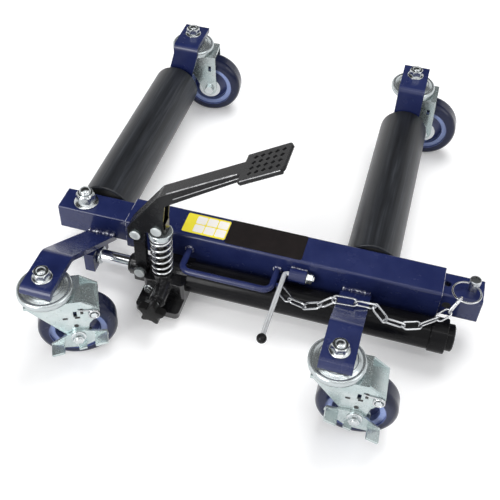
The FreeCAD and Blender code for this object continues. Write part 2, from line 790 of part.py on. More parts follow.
# Brake rocker about the axle: shield-shaped plate, boss, two foot tabs and a small tab at its point
plate_y = (f"-{BRAKE_OUT}", f"-({FORK_OUT} + brake_gap)")
tab_y = (f"-{BRAKE_OUT} - tab_out", plate_y[1])
tab_z = ("-tab_drop - tab_thick", "-tab_drop")
rocker = cut(
    "rocker", fuse(
        "rocker_blank",
        prism("rocker_plate", "XZ", [
            ("-brake_reach", "-tab_drop"), ("-brake_boss", "brake_half"), ("brake_boss", "brake_half"),
            ("brake_reach", "-tab_drop"), ("brake_reach", "-tab_drop - 2 * tab_thick"),
            ("brake_point", "-brake_foot"), ("-brake_point", "-brake_foot"),
            ("-brake_reach", "-tab_drop - 2 * tab_thick")], *plate_y),
        rod("rocker_boss", "Y", ("0", plate_y[0], "0"), "brake_thick", "brake_boss"),
        box("front_tab", ("-brake_reach", "-brake_reach + tab_long"), tab_y, tab_z),
        box("back_tab", ("brake_reach - tab_long", "brake_reach"), tab_y, tab_z),
        box("foot_tab", ("-brake_point", "brake_point"), (f"-{BRAKE_OUT} - foot_tab_out", plate_y[1]),
            ("-brake_foot", "-brake_foot + tab_thick"))),
    rod("rocker_hole", "Y", ("0", f"-{BRAKE_OUT} - overrun", "0"), "brake_thick + 2 * overrun", PIVOT_BORE))

CASTERS = {
    "front_left": (LEFT_FRONT_X, FRONT_STEM, front_fork, front_axle),
    "front_right": (RIGHT_FRONT_X, FRONT_STEM, front_fork, front_axle),
    "rear_left": (LEFT_REAR_X, REAR_STEM, rear_fork, rear_axle),
    "rear_right": (RIGHT_REAR_X, REAR_STEM, rear_fork, rear_axle),
}
cups = {}
stems = {}
for corner, (x, y, fork, axle) in CASTERS.items():
    turn = f"{corner}_turn"
    cups[corner] = copy(f"{corner}_swivel_cup", cup, x, y)
    stems[corner] = copy(f"{corner}_stem", stem, x, y)
    copy(f"{corner}_fork", fork, x, y, turn=turn)
    copy(f"{corner}_axle", axle, x, y, turn=turn)
    copy(f"{corner}_hub", hub, x, y, turn=turn)
    copy(f"{corner}_tread", tread, x, y, turn=turn)
    if axle is front_axle:
        tilted = copy(f"{corner}_rocker", rocker, "swivel_offset", "0", "wheel_radius",
                      f"-{corner}_brake_tilt", FreeCAD.Vector(0, 1, 0))
        copy(f"{corner}_brake", tilted, x, y, turn=turn)
for side in ("left", "right"):
    group(f"{side}_swivel_cups", cups[f"front_{side}"], cups[f"rear_{side}"])
    group(f"{side}_swivel_bolts", stems[f"front_{side}"], stems[f"rear_{side}"])

# Ram: cylinder, end ring and plug on the pump block, rod and piston on the left arm
RAM = ("-ram_out", "ram_height")
CYLINDER_RIGHT = "(block_right + cylinder_length)"
BORE = "(cylinder_radius - cylinder_wall)"


def ram_turned(name, points, rounds=()):
    return place(turned(name, "XY", "H", points, rounds), "0", *RAM)


ram_turned("cylinder_tube", rectangle(("block_right", CYLINDER_RIGHT), (BORE, "cylinder_radius")))
RING_END = f"({CYLINDER_RIGHT} + ring_length)"
ram_turned("cylinder_ring", rectangle((CYLINDER_RIGHT, RING_END), (BORE, "ring_radius")),
           [((2, 3), "ring_edge")])
ram_turned("cylinder_plug", [
    (f"{RING_END} - plug_depth", "0"), (f"{RING_END} + plug_length", "0"),
    (f"{RING_END} + plug_length", "plug_radius"), (RING_END, "plug_radius"),
    (RING_END, f"{BORE} - bush_gap"), (f"{RING_END} - plug_depth", f"{BORE} - bush_gap")],
    [((2,), "plug_edge")])
STUD_LEFT = f"({LUG_LEFT} - rod_nut_height - stud_tail)"
ROD_RIGHT = "(block_right + rod_inside)"
ram_turned("piston_rod", [
    (STUD_LEFT, "0"), (ROD_RIGHT, "0"), (ROD_RIGHT, "rod_radius"), (LUG_RIGHT, "rod_radius"),
    (LUG_RIGHT, "stud_radius"), (STUD_LEFT, "stud_radius")])
ram_turned("piston", rectangle((ROD_RIGHT, f"{ROD_RIGHT} + piston_length"), ("0", f"{BORE} - running_gap")))
nut_blank = hexagon("rod_nut_blank", "X", (f"{LUG_LEFT} - rod_nut_height", *RAM), "rod_nut_height",
                    "rod_nut_radius")
cut("rod_nut", nut_blank, rod("rod_nut_bore", "X", (f"{STUD_LEFT} - overrun", *RAM),
                              "rod_nut_height + stud_tail + 2 * overrun", "stud_radius + bush_gap"))

# Pump block casting
PUMP_Y = "(-pump_out)"
EAR = "(link_thick / 2 + link_gap)"
base = prism("block_base", "XY", rectangle(("base_left", "block_right"), ("-base_front", "0")),
             "base_bottom", "block_bottom", [(range(4), "2 * block_edge")])
body_block = prism("block_body", "XY", rectangle(("block_left", "block_right"), ("-block_front", "0")),
                   "block_bottom", "block_top", [((0, 1), "2 * block_edge")])
pump_block = cut(
    "pump_block", fuse(
        "block_blank", base, body_block,
        rod("barrel", "Z", ("pump_left", PUMP_Y, "block_bottom"), "barrel_top - block_bottom",
            "barrel_radius"),
        rod("gland", "X", ("gland_left", *RAM), "block_right - gland_left", "gland_radius"),
        box("ear_root", (f"{PIVOT_X} - ear_radius", "block_left + overrun"),
            (f"{PUMP_Y} - {EAR} - ear_thick", f"{PUMP_Y} + {EAR} + ear_thick"),
            ("link_base_height - 2 * ear_radius", "link_base_height")),
        rod("ear_top", "Y", (PIVOT_X, f"{PUMP_Y} - {EAR} - ear_thick", "link_base_height"),
            f"2 * ({EAR} + ear_thick)", "ear_radius"),
        rod("valve_boss", "Y", ("valve_left", "-valve_front", "valve_height"),
            "valve_front - block_front + overrun", "valve_radius")),
    rod("rod_bore", "X", ("gland_left - overrun", *RAM), "block_right - gland_left + 2 * overrun",
        "rod_radius + running_gap"),
    rod("plunger_bore", "Z", ("pump_left", PUMP_Y, "base_bottom + bore_floor"),
        "barrel_top - base_bottom - bore_floor + overrun", "plunger_radius + running_gap"),
    box("ear_slot", (f"{PIVOT_X} - 2 * ear_radius", f"{PIVOT_X} + link_radius + link_clear"),
        (f"{PUMP_Y} - {EAR}", f"{PUMP_Y} + {EAR}"),
        ("link_base_height - link_radius - link_clear", "link_base_height + 2 * ear_radius")),
    rod("ear_hole", "Y", (PIVOT_X, f"{PUMP_Y} - {EAR} - ear_thick - overrun", "link_base_height"),
        f"2 * ({EAR} + ear_thick + overrun)", "pin_radius + fit_gap"),
    rod("valve_bore", "Y", ("valve_left", "-valve_front - overrun", "valve_height"), "valve_depth + overrun",
        "release_radius + running_gap"))


def headed_pin(name, x, z, half):
    """Pin along Y with a head on the near side, flush on the far side."""
    pin_y = f"({PUMP_Y} - {half})"
    return fuse(
        name,
        rod(f"{name}_shank", "Y", (x, f"{pin_y} - pin_head", z), f"2 * {half} + pin_head", "pin_radius"),
        rod(f"{name}_head", "Y", (x, f"{pin_y} - pin_head", z), "pin_head", "pin_head_radius"))


headed_pin("link_base_pin", PIVOT_X, "link_base_height", f"({EAR} + ear_thick)")

# Pump plunger, spring and cap
CAP_TOP = f"({CAP_BOTTOM} + cap_height)"
head_x = ("pump_left - plunger_head_long / 2", "pump_left + plunger_head_long / 2")
head_y = (f"{PUMP_Y} - plunger_head_wide / 2", f"{PUMP_Y} + plunger_head_wide / 2")
cut("pump_plunger", fuse(
        "plunger_blank",
        rod("plunger_shank", "Z", ("pump_left", PUMP_Y, "plunger_bottom"),
            f"{CAP_TOP} - plunger_bottom + overrun", "plunger_radius"),
        box("plunger_head", head_x, head_y, (CAP_TOP, "plunger_pin_height + plunger_head_over"))),
    box("pin_slot", ("pump_left - pin_slot_long / 2", "pump_left + pin_slot_long / 2"),
        (f"{PUMP_Y} - plunger_head_wide", f"{PUMP_Y} + plunger_head_wide"),
        ("plunger_pin_height - pin_radius - pin_slot_gap", "plunger_pin_height + pin_radius + pin_slot_gap")))
place(upright("spring_cap", [
    ("plunger_radius + bush_gap", CAP_BOTTOM), ("cap_radius", CAP_BOTTOM), ("cap_radius", CAP_TOP),
    ("plunger_radius + bush_gap", CAP_TOP)], [((2,), "cap_edge")]), "pump_left", PUMP_Y)


def spring_points():
    """Places along the spring's wire, four to a turn, with a close coil at each end."""
    wire = size("spring_wire")
    low = size("barrel_top") + wire / 2 + size("spring_seat_gap")
    high = value(CAP_BOTTOM) - wire / 2 - size("spring_seat_gap")
    turns = int(size("spring_turns"))
    close = wire + size("spring_end_gap")
    open_pitch = (high - low - 2 * close) / (turns - 2)

    def place_at(turn):
        rise = close * min(turn, 1) + open_pitch * min(max(turn - 1, 0), turns - 2)
        rise += close * max(turn - turns + 1, 0)
        angle = 2 * math.pi * turn
        return FreeCAD.Vector(size("pump_left") + size("spring_radius") * math.cos(angle),
                              -size("pump_out") + size("spring_radius") * math.sin(angle), low + rise)

    def heading_at(turn):
        step = 1 / 8
        pitch = (place_at(min(turn + step, turns)).z - place_at(max(turn - step, 0)).z)
        pitch /= min(turn + step, turns) - max(turn - step, 0)
        angle = 2 * math.pi * turn
        round_speed = 2 * math.pi * size("spring_radius")
        heading = FreeCAD.Vector(-round_speed * math.sin(angle), round_speed * math.cos(angle), pitch)
        return heading.normalize()

    return [(place_at(i / 4), heading_at(i / 4)) for i in range(4 * turns + 1)]


def biarc(start, heading, end, last_heading):
    """Two arcs that leave one place along a heading and reach another along a second one."""
    chord = end - start
    both = heading + last_heading
    spread = 2 * (1 - heading.dot(last_heading))
    along = chord.dot(both)
    reach = (-along + math.sqrt(along * along + spread * chord.dot(chord))) / spread
    first = start + heading * reach
    second = end - last_heading * reach
    meet = (first + second) * 0.5
    arcs = []
    for a, corner, b in ((start, first, meet), (meet, second, end)):
        middle = (a + b) * 0.5
        half = (b - a).Length / 2
        lift = (corner - middle).Length
        apex = middle + (corner - middle).normalize() * (half * math.tan(math.atan2(lift, half) / 2))
        arcs.append(Part.Arc(a, apex, b))
    return arcs


def coil_spring():
    places = spring_points()
    arcs = []
    for (a, heading), (b, last_heading) in zip(places, places[1:]):
        arcs += biarc(a, heading, b, last_heading)
    path = Part.Wire([arc.toShape() for arc in arcs])
    section = Part.Wire(Part.makeCircle(size("spring_wire") / 2, places[0][0], places[0][1]))
    line = path.discretize(Number=60 * int(size("spring_turns")))
    per_turn = 60
    apart = min((a - b).Length for i, a in enumerate(line) for b in line[i + per_turn // 2:])
    print("spring: least gap between its turns", round(apart - size("spring_wire"), 3))
    return path.makePipeShell([section], True, False)


shape_of("plunger_spring", coil_spring())

# Foot pedal, its link and its two pins
link_y = (f"{PUMP_Y} - link_thick / 2", f"{PUMP_Y} + link_thick / 2")
link_holes = [rod(f"link_hole_{end}", "Y", (PIVOT_X, f"{link_y[0]} - overrun", z), "link_thick + 2 * overrun",
                  "pin_radius + running_gap")
              for end, z in (("low", "link_base_height"), ("high", PIVOT_Z))]
cut("pedal_link", fuse(
        "link_blank",
        box("link_bar", (f"{PIVOT_X} - link_radius", f"{PIVOT_X} + link_radius"), link_y,
            ("link_base_height", PIVOT_Z)),
        *[rod(f"link_end_{end}", "Y", (PIVOT_X, link_y[0], z), "link_thick", "link_radius")
          for end, z in (("low", "link_base_height"), ("high", PIVOT_Z))]),
    *link_holes)

ELBOW = (f"({PIVOT_X} + elbow_run)", f"({PIVOT_Z} + elbow_rise)")
TIP = (f"({ELBOW[0]} + arm_run)", f"({ELBOW[1]} + arm_rise)")


def under_arm(spot, deep):
    """Place square below the arm's upper face."""
    return (f"{spot[0]} + {deep} * arm_rise / {ARM_LENGTH}", f"{spot[1]} - {deep} * arm_run / {ARM_LENGTH}")


cheek_profile = [
    (f"{PIVOT_X} - cheek_margin", f"{PIVOT_Z} - cheek_margin"),
    (f"{PIVOT_X} - cheek_margin", f"{PIVOT_Z} + cheek_end"),
    ELBOW, TIP, under_arm(TIP, "arm_tip_depth"), under_arm(ELBOW, "arm_depth"),
    ("pump_left + cheek_end", "plunger_pin_height + cheek_end"),
    ("pump_left + cheek_end", "plunger_pin_height - cheek_drop"),
    (f"{PIVOT_X} + cheek_margin", f"{PIVOT_Z} + cheek_rise"),
    (f"{PIVOT_X} + cheek_margin", f"{PIVOT_Z} - cheek_margin")]
PEDAL_HALF = "(cheek_gap + cheek_thick)"
channel = prism("pedal_channel", "XZ", cheek_profile, f"{PUMP_Y} - cheek_gap", f"{PUMP_Y} + cheek_gap",
                [((2,), "elbow_round - channel_right")])
place(channel, "channel_right", "0", "-channel_down")
pad_grid = []
for row in range(int(size("pad_rows"))):
    for column in range(int(size("pad_columns"))):
        hole = box(f"pad_hole_{row}_{column}", ("-pad_hole / 2", "pad_hole / 2"),
                   ("-pad_hole / 2", "pad_hole / 2"), ("-pad_thick - overrun", "overrun"))
        pad_grid.append(copy(f"pad_diamond_{row}_{column}", hole,
                             f"pad_length * {row + 1} / (pad_rows + 1)",
                             f"pad_width * ({column + 1} / (pad_columns + 1) - 1 / 2)", "0", "45"))
pad_outline = rectangle(("-pad_thick", "pad_length"), ("-pad_width / 2", "pad_width / 2"))
pad_plate = prism("pad_plate", "XY", pad_outline, "-pad_thick", "0", [((1, 2), "pad_corner")])
pad = copy("pad", cut("pad_flat", pad_plate, *pad_grid), TIP[0], PUMP_Y, TIP[1],
           "-atan(arm_rise / arm_run)", FreeCAD.Vector(0, 1, 0))
cut("foot_pedal",
    fuse("pedal_blank",
         cut("pedal_bent", prism("pedal_cheeks", "XZ", cheek_profile, f"{PUMP_Y} - {PEDAL_HALF}",
                                 f"{PUMP_Y} + {PEDAL_HALF}",
                                 [((0, 9), "cheek_round"), ((2,), "elbow_round"), ((5,), "cheek_round")]),
             channel),
         pad),
    *[rod(f"pedal_hole_{end}", "Y", (x, f"{PUMP_Y} - {PEDAL_HALF} - overrun", z),
          f"2 * ({PEDAL_HALF} + overrun)", "pin_radius + fit_gap")
      for end, x, z in (("pivot", PIVOT_X, PIVOT_Z), ("plunger", "pump_left", "plunger_pin_height"))])
group("pedal_pins",
      headed_pin("pivot_pin", PIVOT_X, PIVOT_Z, PEDAL_HALF),
      headed_pin("plunger_pin", "pump_left", "plunger_pin_height", PEDAL_HALF))

# Release valve: stem and star knob
KNOB_BACK = "(knob_thick - knob_front)"
VALVE = ("valve_left", "valve_height")
rod("release_stem", "Y", (VALVE[0], f"{KNOB_BACK} - knob_depth", VALVE[1]),
    f"-({KNOB_BACK}) + knob_depth - release_seat - block_front + overrun", "release_radius")
hollows = []
for lobe in range(int(size("knob_lobes"))):
    angle = f"360 * {lobe} / knob_lobes"
    hollows.append(rod(f"knob_hollow_{lobe}", "Y",
                       (f"valve_left + knob_hollow_out * cos({angle})", "-knob_front - overrun",
                        f"valve_height + knob_hollow_out * sin({angle})"),
                       "knob_thick + 2 * overrun", "knob_hollow"))
cut("release_knob",
    rod("knob_blank", "Y", (VALVE[0], "-knob_front", VALVE[1]), "knob_thick", "knob_radius"), *hollows,
    rod("knob_bore", "Y", (VALVE[0], f"{KNOB_BACK} - knob_depth", VALVE[1]), "knob_depth + overrun",
        "release_radius + bush_gap"))

# Latch: sleeve welded to the outer tube, bent lever through it, nut and ball
cut("latch_sleeve", fuse(
        "sleeve_blank",
        rod("sleeve_round", "X", (SLEEVE_LEFT, LATCH_Y, "latch_height"), "sleeve_length", "sleeve_radius"),
        box("sleeve_foot", (SLEEVE_LEFT, SLEEVE_RIGHT), (LATCH_Y, "0"),
            ("latch_height - sleeve_foot / 2", "latch_height + sleeve_foot / 2"))),
    rod("sleeve_bore", "X", (f"{SLEEVE_LEFT} - overrun", LATCH_Y, "latch_height"),
        "sleeve_length + 2 * overrun", "latch_shaft + running_gap"))
lever_x = value(SLEEVE_LEFT) - size("lever_inset")
shaft_end = (value(SLEEVE_RIGHT) + size("washer_out") + size("latch_nut_height")
             + size("latch_tail"))
lever_y = -size("sleeve_radius")
lever_z = size("latch_height")
lever_end = FreeCAD.Vector(lever_x, lever_y - size("lever_reach"), lever_z + size("lever_rise"))
shape_of("latch_lever", bent_bar(
    [FreeCAD.Vector(shaft_end, lever_y, lever_z), FreeCAD.Vector(lever_x, lever_y, lever_z), lever_end],
    size("lever_bend"), size("latch_shaft")))
ball_blank = doc.addObject("Part::Sphere", "ball_blank")
bind(ball_blank, "Radius", "ball_radius")
place(ball_blank, f"{SLEEVE_LEFT} - lever_inset", f"{LATCH_Y} - lever_reach", "latch_height + lever_rise")
lever_bore = rod("ball_bore", "Z", ("0", "0", "0"), "2 * ball_radius", "latch_shaft + bush_gap")
bind(lever_bore, "Placement.Rotation.Angle", "-90 deg - atan(lever_rise / lever_reach)")
lever_bore.Placement.Rotation.Axis = FreeCAD.Vector(1, 0, 0)
place(lever_bore, f"{SLEEVE_LEFT} - lever_inset", f"{LATCH_Y} - lever_reach", "latch_height + lever_rise")
cut("latch_ball", ball_blank, lever_bore)
nut_x = f"({SLEEVE_RIGHT} + washer_out)"
cut("latch_nut", fuse(
        "latch_nut_blank",
        rod("latch_washer", "X", (f"{SLEEVE_RIGHT} + washer_out / 2", LATCH_Y, "latch_height"),
            "washer_out / 2", "sleeve_radius"),
        hexagon("latch_hex", "X", (nut_x, LATCH_Y, "latch_height"), "latch_nut_height", "latch_nut_radius")),
    rod("latch_nut_bore", "X", (SLEEVE_RIGHT, LATCH_Y, "latch_height"),
        "washer_out + latch_nut_height + overrun", "latch_shaft + bush_gap"))


# Carry handle with an eye for the chain, the chain's oval links, and the ring in the lock pin's neck
UPWARD = FreeCAD.Vector(0, 0, 1)


def chain_places():
    start = value(HANDLE_RIGHT) + size("chain_eye_out")
    run = value(LOCK_X) - start
    return [FreeCAD.Vector(start + a * run, -b * size("handle_reach"), c * size("beam_height"))
            for a, b, c in CHAIN_SHARES]


def ring_line():
    """Where the ring meets the chain's last place, and the middle of the lock pin's neck."""
    inner_side = size("tube_side") - 2 * size("tube_wall") - 2 * size("slide_gap")
    neck = FreeCAD.Vector(size("outer_length") + size("lock_hole_in"), size("tube_side") / 2,
                          size("beam_height") + inner_side / 2 + size("ring_hole_up"))
    return chain_places()[-1], neck


def chain_hook(before, after):
    """How far two links reach past the place where they meet, for the gap between their wires."""
    half = size("chain_half")
    hold = half - 2 * size("chain_wire") - size("chain_gap")
    bend = 1 + before.dot(after)
    room = (half * bend) ** 2 - 2 * bend * (half ** 2 - hold ** 2)
    return (half * bend - math.sqrt(max(room, 0))) / (2 * bend)


def chain_hooks():
    places = chain_places()
    ways = [(b - a).normalize() for a, b in zip(places, places[1:] + [ring_line()[1]])]
    return [chain_hook(before, after) for before, after in zip(ways[:1] + ways, ways)]


def chain_link(a, b, across, hooks):
    """Oval link that hooks over two places, lying across a given direction."""
    wire = size("chain_wire")
    half = size("chain_half")
    along = (b - a).normalize()
    side = (across - along * across.dot(along)).normalize()
    first = a - along * (hooks[0] - half)
    second = b + along * (hooks[1] - half)
    path = Part.Wire([
        Part.LineSegment(first + side * half, second + side * half).toShape(),
        Part.Arc(second + side * half, second + along * half, second - side * half).toShape(),
        Part.LineSegment(second - side * half, first - side * half).toShape(),
        Part.Arc(first - side * half, first - along * half, first + side * half).toShape()])
    section = Part.Wire(Part.makeCircle(wire, first + side * half, along))
    return path.makePipeShell([section], True, False)


def handle_with_eye():
    front = -size("handle_reach")
    level = size("handle_height")
    bar = bent_bar(
        [FreeCAD.Vector(x, y, level) for x, y in (
            (size("handle_left"), 0), (size("handle_left"), front),
            (value(HANDLE_RIGHT), front), (value(HANDLE_RIGHT), 0))],
        size("handle_bend"), size("handle_radius"))
    first, second = chain_places()[:2]
    heading = second - first
    heading.z = 0
    heading.normalize()
    centre = first + heading * (chain_hooks()[0] - size("chain_eye"))
    eye = Part.makeTorus(size("chain_eye"), size("chain_wire"), centre, heading.cross(UPWARD))
    return bar.fuse(eye)


def chain_links():
    places = chain_places()
    hooks = chain_hooks()
    last, neck = ring_line()
    links = []
    for i, (a, b) in enumerate(zip(places, places[1:])):
        along = (b - a).normalize()
        level = along.cross(UPWARD).normalize()
        lean = size("chain_lean") + (90 if i % 2 else 0)
        across = FreeCAD.Rotation(along, lean).multVec(level)
        if b == places[-1]:
            across = along.cross((neck - last).cross(UPWARD))
        links.append(chain_link(a, b, across, hooks[i:i + 2]))
    return links


shape_of("carry_handle", handle_with_eye())
links = chain_links()
split = len(links) * 2 // 3
shape_of("safety_chain", Part.Compound(links[:split]))
shape_of("chain_end", Part.Compound(links[split:]))


def lock_ring(wire):
    """Ring from the chain's last place through the lock pin's neck."""
    last, neck = ring_line()
    along = (neck - last).normalize()
    reach = (neck - last).Length + chain_hooks()[-1]
    centre = neck - along * (reach / 2)
    level = along.cross(UPWARD).normalize()
    return Part.makeTorus(reach / 2, wire, centre, level.cross(along))


shape_of("pin_ring", lock_ring(size("chain_wire")))
pin_blank = place(upright("lock_pin_blank", [
    ("0", f"{INNER_BOTTOM} - lock_tail"), ("lock_radius", f"{INNER_BOTTOM} - lock_tail"),
    ("lock_radius", INNER_TOP), ("lock_neck_radius", INNER_TOP),
    ("lock_neck_radius", f"{INNER_TOP} + lock_neck"), ("lock_head_radius", f"{INNER_TOP} + lock_neck"),
    ("lock_head_radius", f"{INNER_TOP} + lock_neck + lock_head"),
    ("0", f"{INNER_TOP} + lock_neck + lock_head")],
    [((6,), "lock_head_edge")]), LOCK_X, MID_Y)
cut("lock_pin", pin_blank, shape_of("ring_hole", lock_ring(size("chain_wire") + size("ring_hole_gap"))))

# Sub-parts that are written, each under its own name
SUBPARTS = [
    "outer_tube", "inner_tube", "arm_bolt",
    "left_roller", "left_roller_bushes", "left_roller_axle",
    "right_roller", "right_roller_bushes", "right_roller_axle",
    "left_rear_bracket", "right_rear_bracket", "left_front_bracket", "right_front_bracket",
    "left_swivel_cups", "right_swivel_cups", "left_swivel_bolts", "right_swivel_bolts",
    "cylinder_tube", "cylinder_ring", "cylinder_plug", "piston_rod", "piston", "rod_nut",
    "pump_block", "link_base_pin", "pump_plunger", "spring_cap", "plunger_spring",
    "pedal_link", "foot_pedal", "pedal_pins", "release_stem", "release_knob",
    "carry_handle", "latch_sleeve", "latch_lever", "latch_ball", "latch_nut",
    "safety_chain", "chain_end", "lock_pin", "pin_ring",
]
for corner in CASTERS:
    SUBPARTS += [f"{corner}_{piece}" for piece in ("fork", "axle", "hub", "tread")]
SUBPARTS += ["front_left_brake", "front_right_brake"]

doc.recompute()
for thing in doc.Objects:
    if {"Invalid", "Error"} & set(thing.State):
        raise RuntimeError(f"{thing.Label} failed: {thing.State}")

shapes = {}
for name in SUBPARTS:
    shape = doc.getObjectsByLabel(name)[0].Shape
    if shape.isNull() or not shape.isValid():
        raise RuntimeError(f"{name} has no valid shape")
    shapes[name] = shape.copy()

whole = FreeCAD.BoundBox()
for shape in shapes.values():
    whole.add(shape.optimalBoundingBox(False, False))
SHIFT = FreeCAD.Vector(-whole.Center.x, -whole.Center.y, -whole.ZMin)

os.makedirs("parts", exist_ok=True)
for name, shape in shapes.items():
    shape.translate(SHIFT)
    shape.exportStep(f"parts/{name}.step")
extent = [round(v, 2) for v in (whole.XLength, whole.YLength, whole.ZLength)]
print("written:", len(shapes), "sub-parts; box", extent, "shift", [round(v, 3) for v in SHIFT])
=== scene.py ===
import logging
import math
from collections.abc import Callable, Sequence
from dataclasses import dataclass, replace
from enum import Enum
from typing import Self

import bmesh
import bpy
from mathutils import Matrix, Vector


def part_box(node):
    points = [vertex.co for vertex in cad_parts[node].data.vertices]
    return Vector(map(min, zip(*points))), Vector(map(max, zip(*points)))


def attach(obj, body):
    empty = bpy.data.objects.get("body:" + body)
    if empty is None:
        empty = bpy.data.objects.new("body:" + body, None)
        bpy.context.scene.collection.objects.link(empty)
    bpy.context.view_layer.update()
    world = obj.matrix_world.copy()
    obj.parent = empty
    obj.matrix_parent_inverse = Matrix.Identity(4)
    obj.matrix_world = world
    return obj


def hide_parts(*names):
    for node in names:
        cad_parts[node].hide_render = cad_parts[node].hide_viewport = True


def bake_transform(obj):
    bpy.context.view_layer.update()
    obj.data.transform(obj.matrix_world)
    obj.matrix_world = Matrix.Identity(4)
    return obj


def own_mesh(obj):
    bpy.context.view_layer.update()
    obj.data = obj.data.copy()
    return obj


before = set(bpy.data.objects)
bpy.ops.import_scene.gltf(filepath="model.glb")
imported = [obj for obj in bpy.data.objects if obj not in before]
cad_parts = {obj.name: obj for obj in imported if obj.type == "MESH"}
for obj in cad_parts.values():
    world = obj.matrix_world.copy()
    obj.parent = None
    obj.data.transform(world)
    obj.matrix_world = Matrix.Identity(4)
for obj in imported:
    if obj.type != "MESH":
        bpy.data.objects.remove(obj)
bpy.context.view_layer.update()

LOG = logging.getLogger("jack")
MM = 0.001
MIDDLE = 0.01
EDGE_SHARP = 35.0
WIRE_SHARP = 60.0
RIPPLE_WAVES = ((1.0, 1.9, 0.0), (0.6, 4.7, 1.0))
EDGE_SAMPLES = 4
SOLID_IOR = 1.5
FILM_IOR = 1.45
WHITE = (1.0, 1.0, 1.0)
TUBE_LOW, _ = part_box("outer_tube")
DRAWN_ORIGIN = Vector((TUBE_LOW[0], TUBE_LOW[1], 0.0))
UP = Vector((0.0, 0.0, 1.0))
NEAR = Vector((0.0, -1.0, 0.0))
FAR = Vector((0.0, 1.0, 0.0))
RIGHT = Vector((1.0, 0.0, 0.0))

Colour = tuple[float, float, float]
Point = tuple[float, float, float]
Pair = tuple[float, float]
Span = tuple[float, float, float, float]
Profile = tuple[Pair, ...]
Stops = tuple[tuple[float, Colour], ...]
RingShape = Callable[[float, float], float]
Inputs = dict[str | int, object]
Socket = bpy.types.NodeSocket


def at(x: float, y: float, z: float) -> Vector:
    """Place a point of the drawing, in millimetres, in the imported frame, in metres."""
    return DRAWN_ORIGIN + Vector((x, y, z)) * MM


class Body(Enum):
    """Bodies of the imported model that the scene's own pieces ride on."""

    FRAME = "frame"
    ARM = "left_arm"
    PEDAL = "pedal"
    VALVE = "release_valve"
    PIN = "lock_pin"
    FRONT_LEFT = "front_left_caster"
    FRONT_RIGHT = "front_right_caster"


class Slot(Enum):
    """Material slots of the record that the scene's own pieces belong to."""

    NAVY = "navy_paint"
    ZINC = "zinc_plate"
    CHROME = "chrome"
    BLACK = "black_paint"
    KNOB = "black_plastic"


class Side(Enum):
    """The two sides of the jack, each with the body that carries its casters."""

    LEFT = Body.ARM
    RIGHT = Body.FRAME

    @property
    def word(self) -> str:
        """The side's name as the pieces' names have it."""
        return self.name.lower()


class Corner(Enum):
    """The four corners where the casters stand."""

    FRONT_LEFT = "front_left"
    FRONT_RIGHT = "front_right"
    REAR_LEFT = "rear_left"
    REAR_RIGHT = "rear_right"

    @property
    def front(self) -> bool:
        """Whether the corner is one of the two at the front."""
        return self in (Corner.FRONT_LEFT, Corner.FRONT_RIGHT)

    @property
    def side(self) -> Side:
        """The side that the corner belongs to."""
        return Side.LEFT if self in (Corner.FRONT_LEFT, Corner.REAR_LEFT) else Side.RIGHT


@dataclass(frozen=True)
class Patches:
    """Noise that a finish reads: its scale, detail and grain, and the span of it that counts."""

    scale: float
    detail: float = 4.0
    low: float = 0.3
    high: float = 0.75
    grain: float = 0.55


@dataclass(frozen=True)
class Relief:
    """Fine relief of a finish: its noise and strength, its depth and the radius of soft edges in metres."""

    scale: float
    detail: float
    strength: float
    depth: float
    edge: float = 0.0
    grain: float = 0.55


SPRAYED = Relief(320.0, 3.0, 0.12, 0.0004, 0.0012)
BRUSHED = Relief(700.0, 3.0, 0.05, 0.0003, 0.0006)
CLOUDED = Patches(55.0, 6.0, 0.32, 0.70, 0.6)


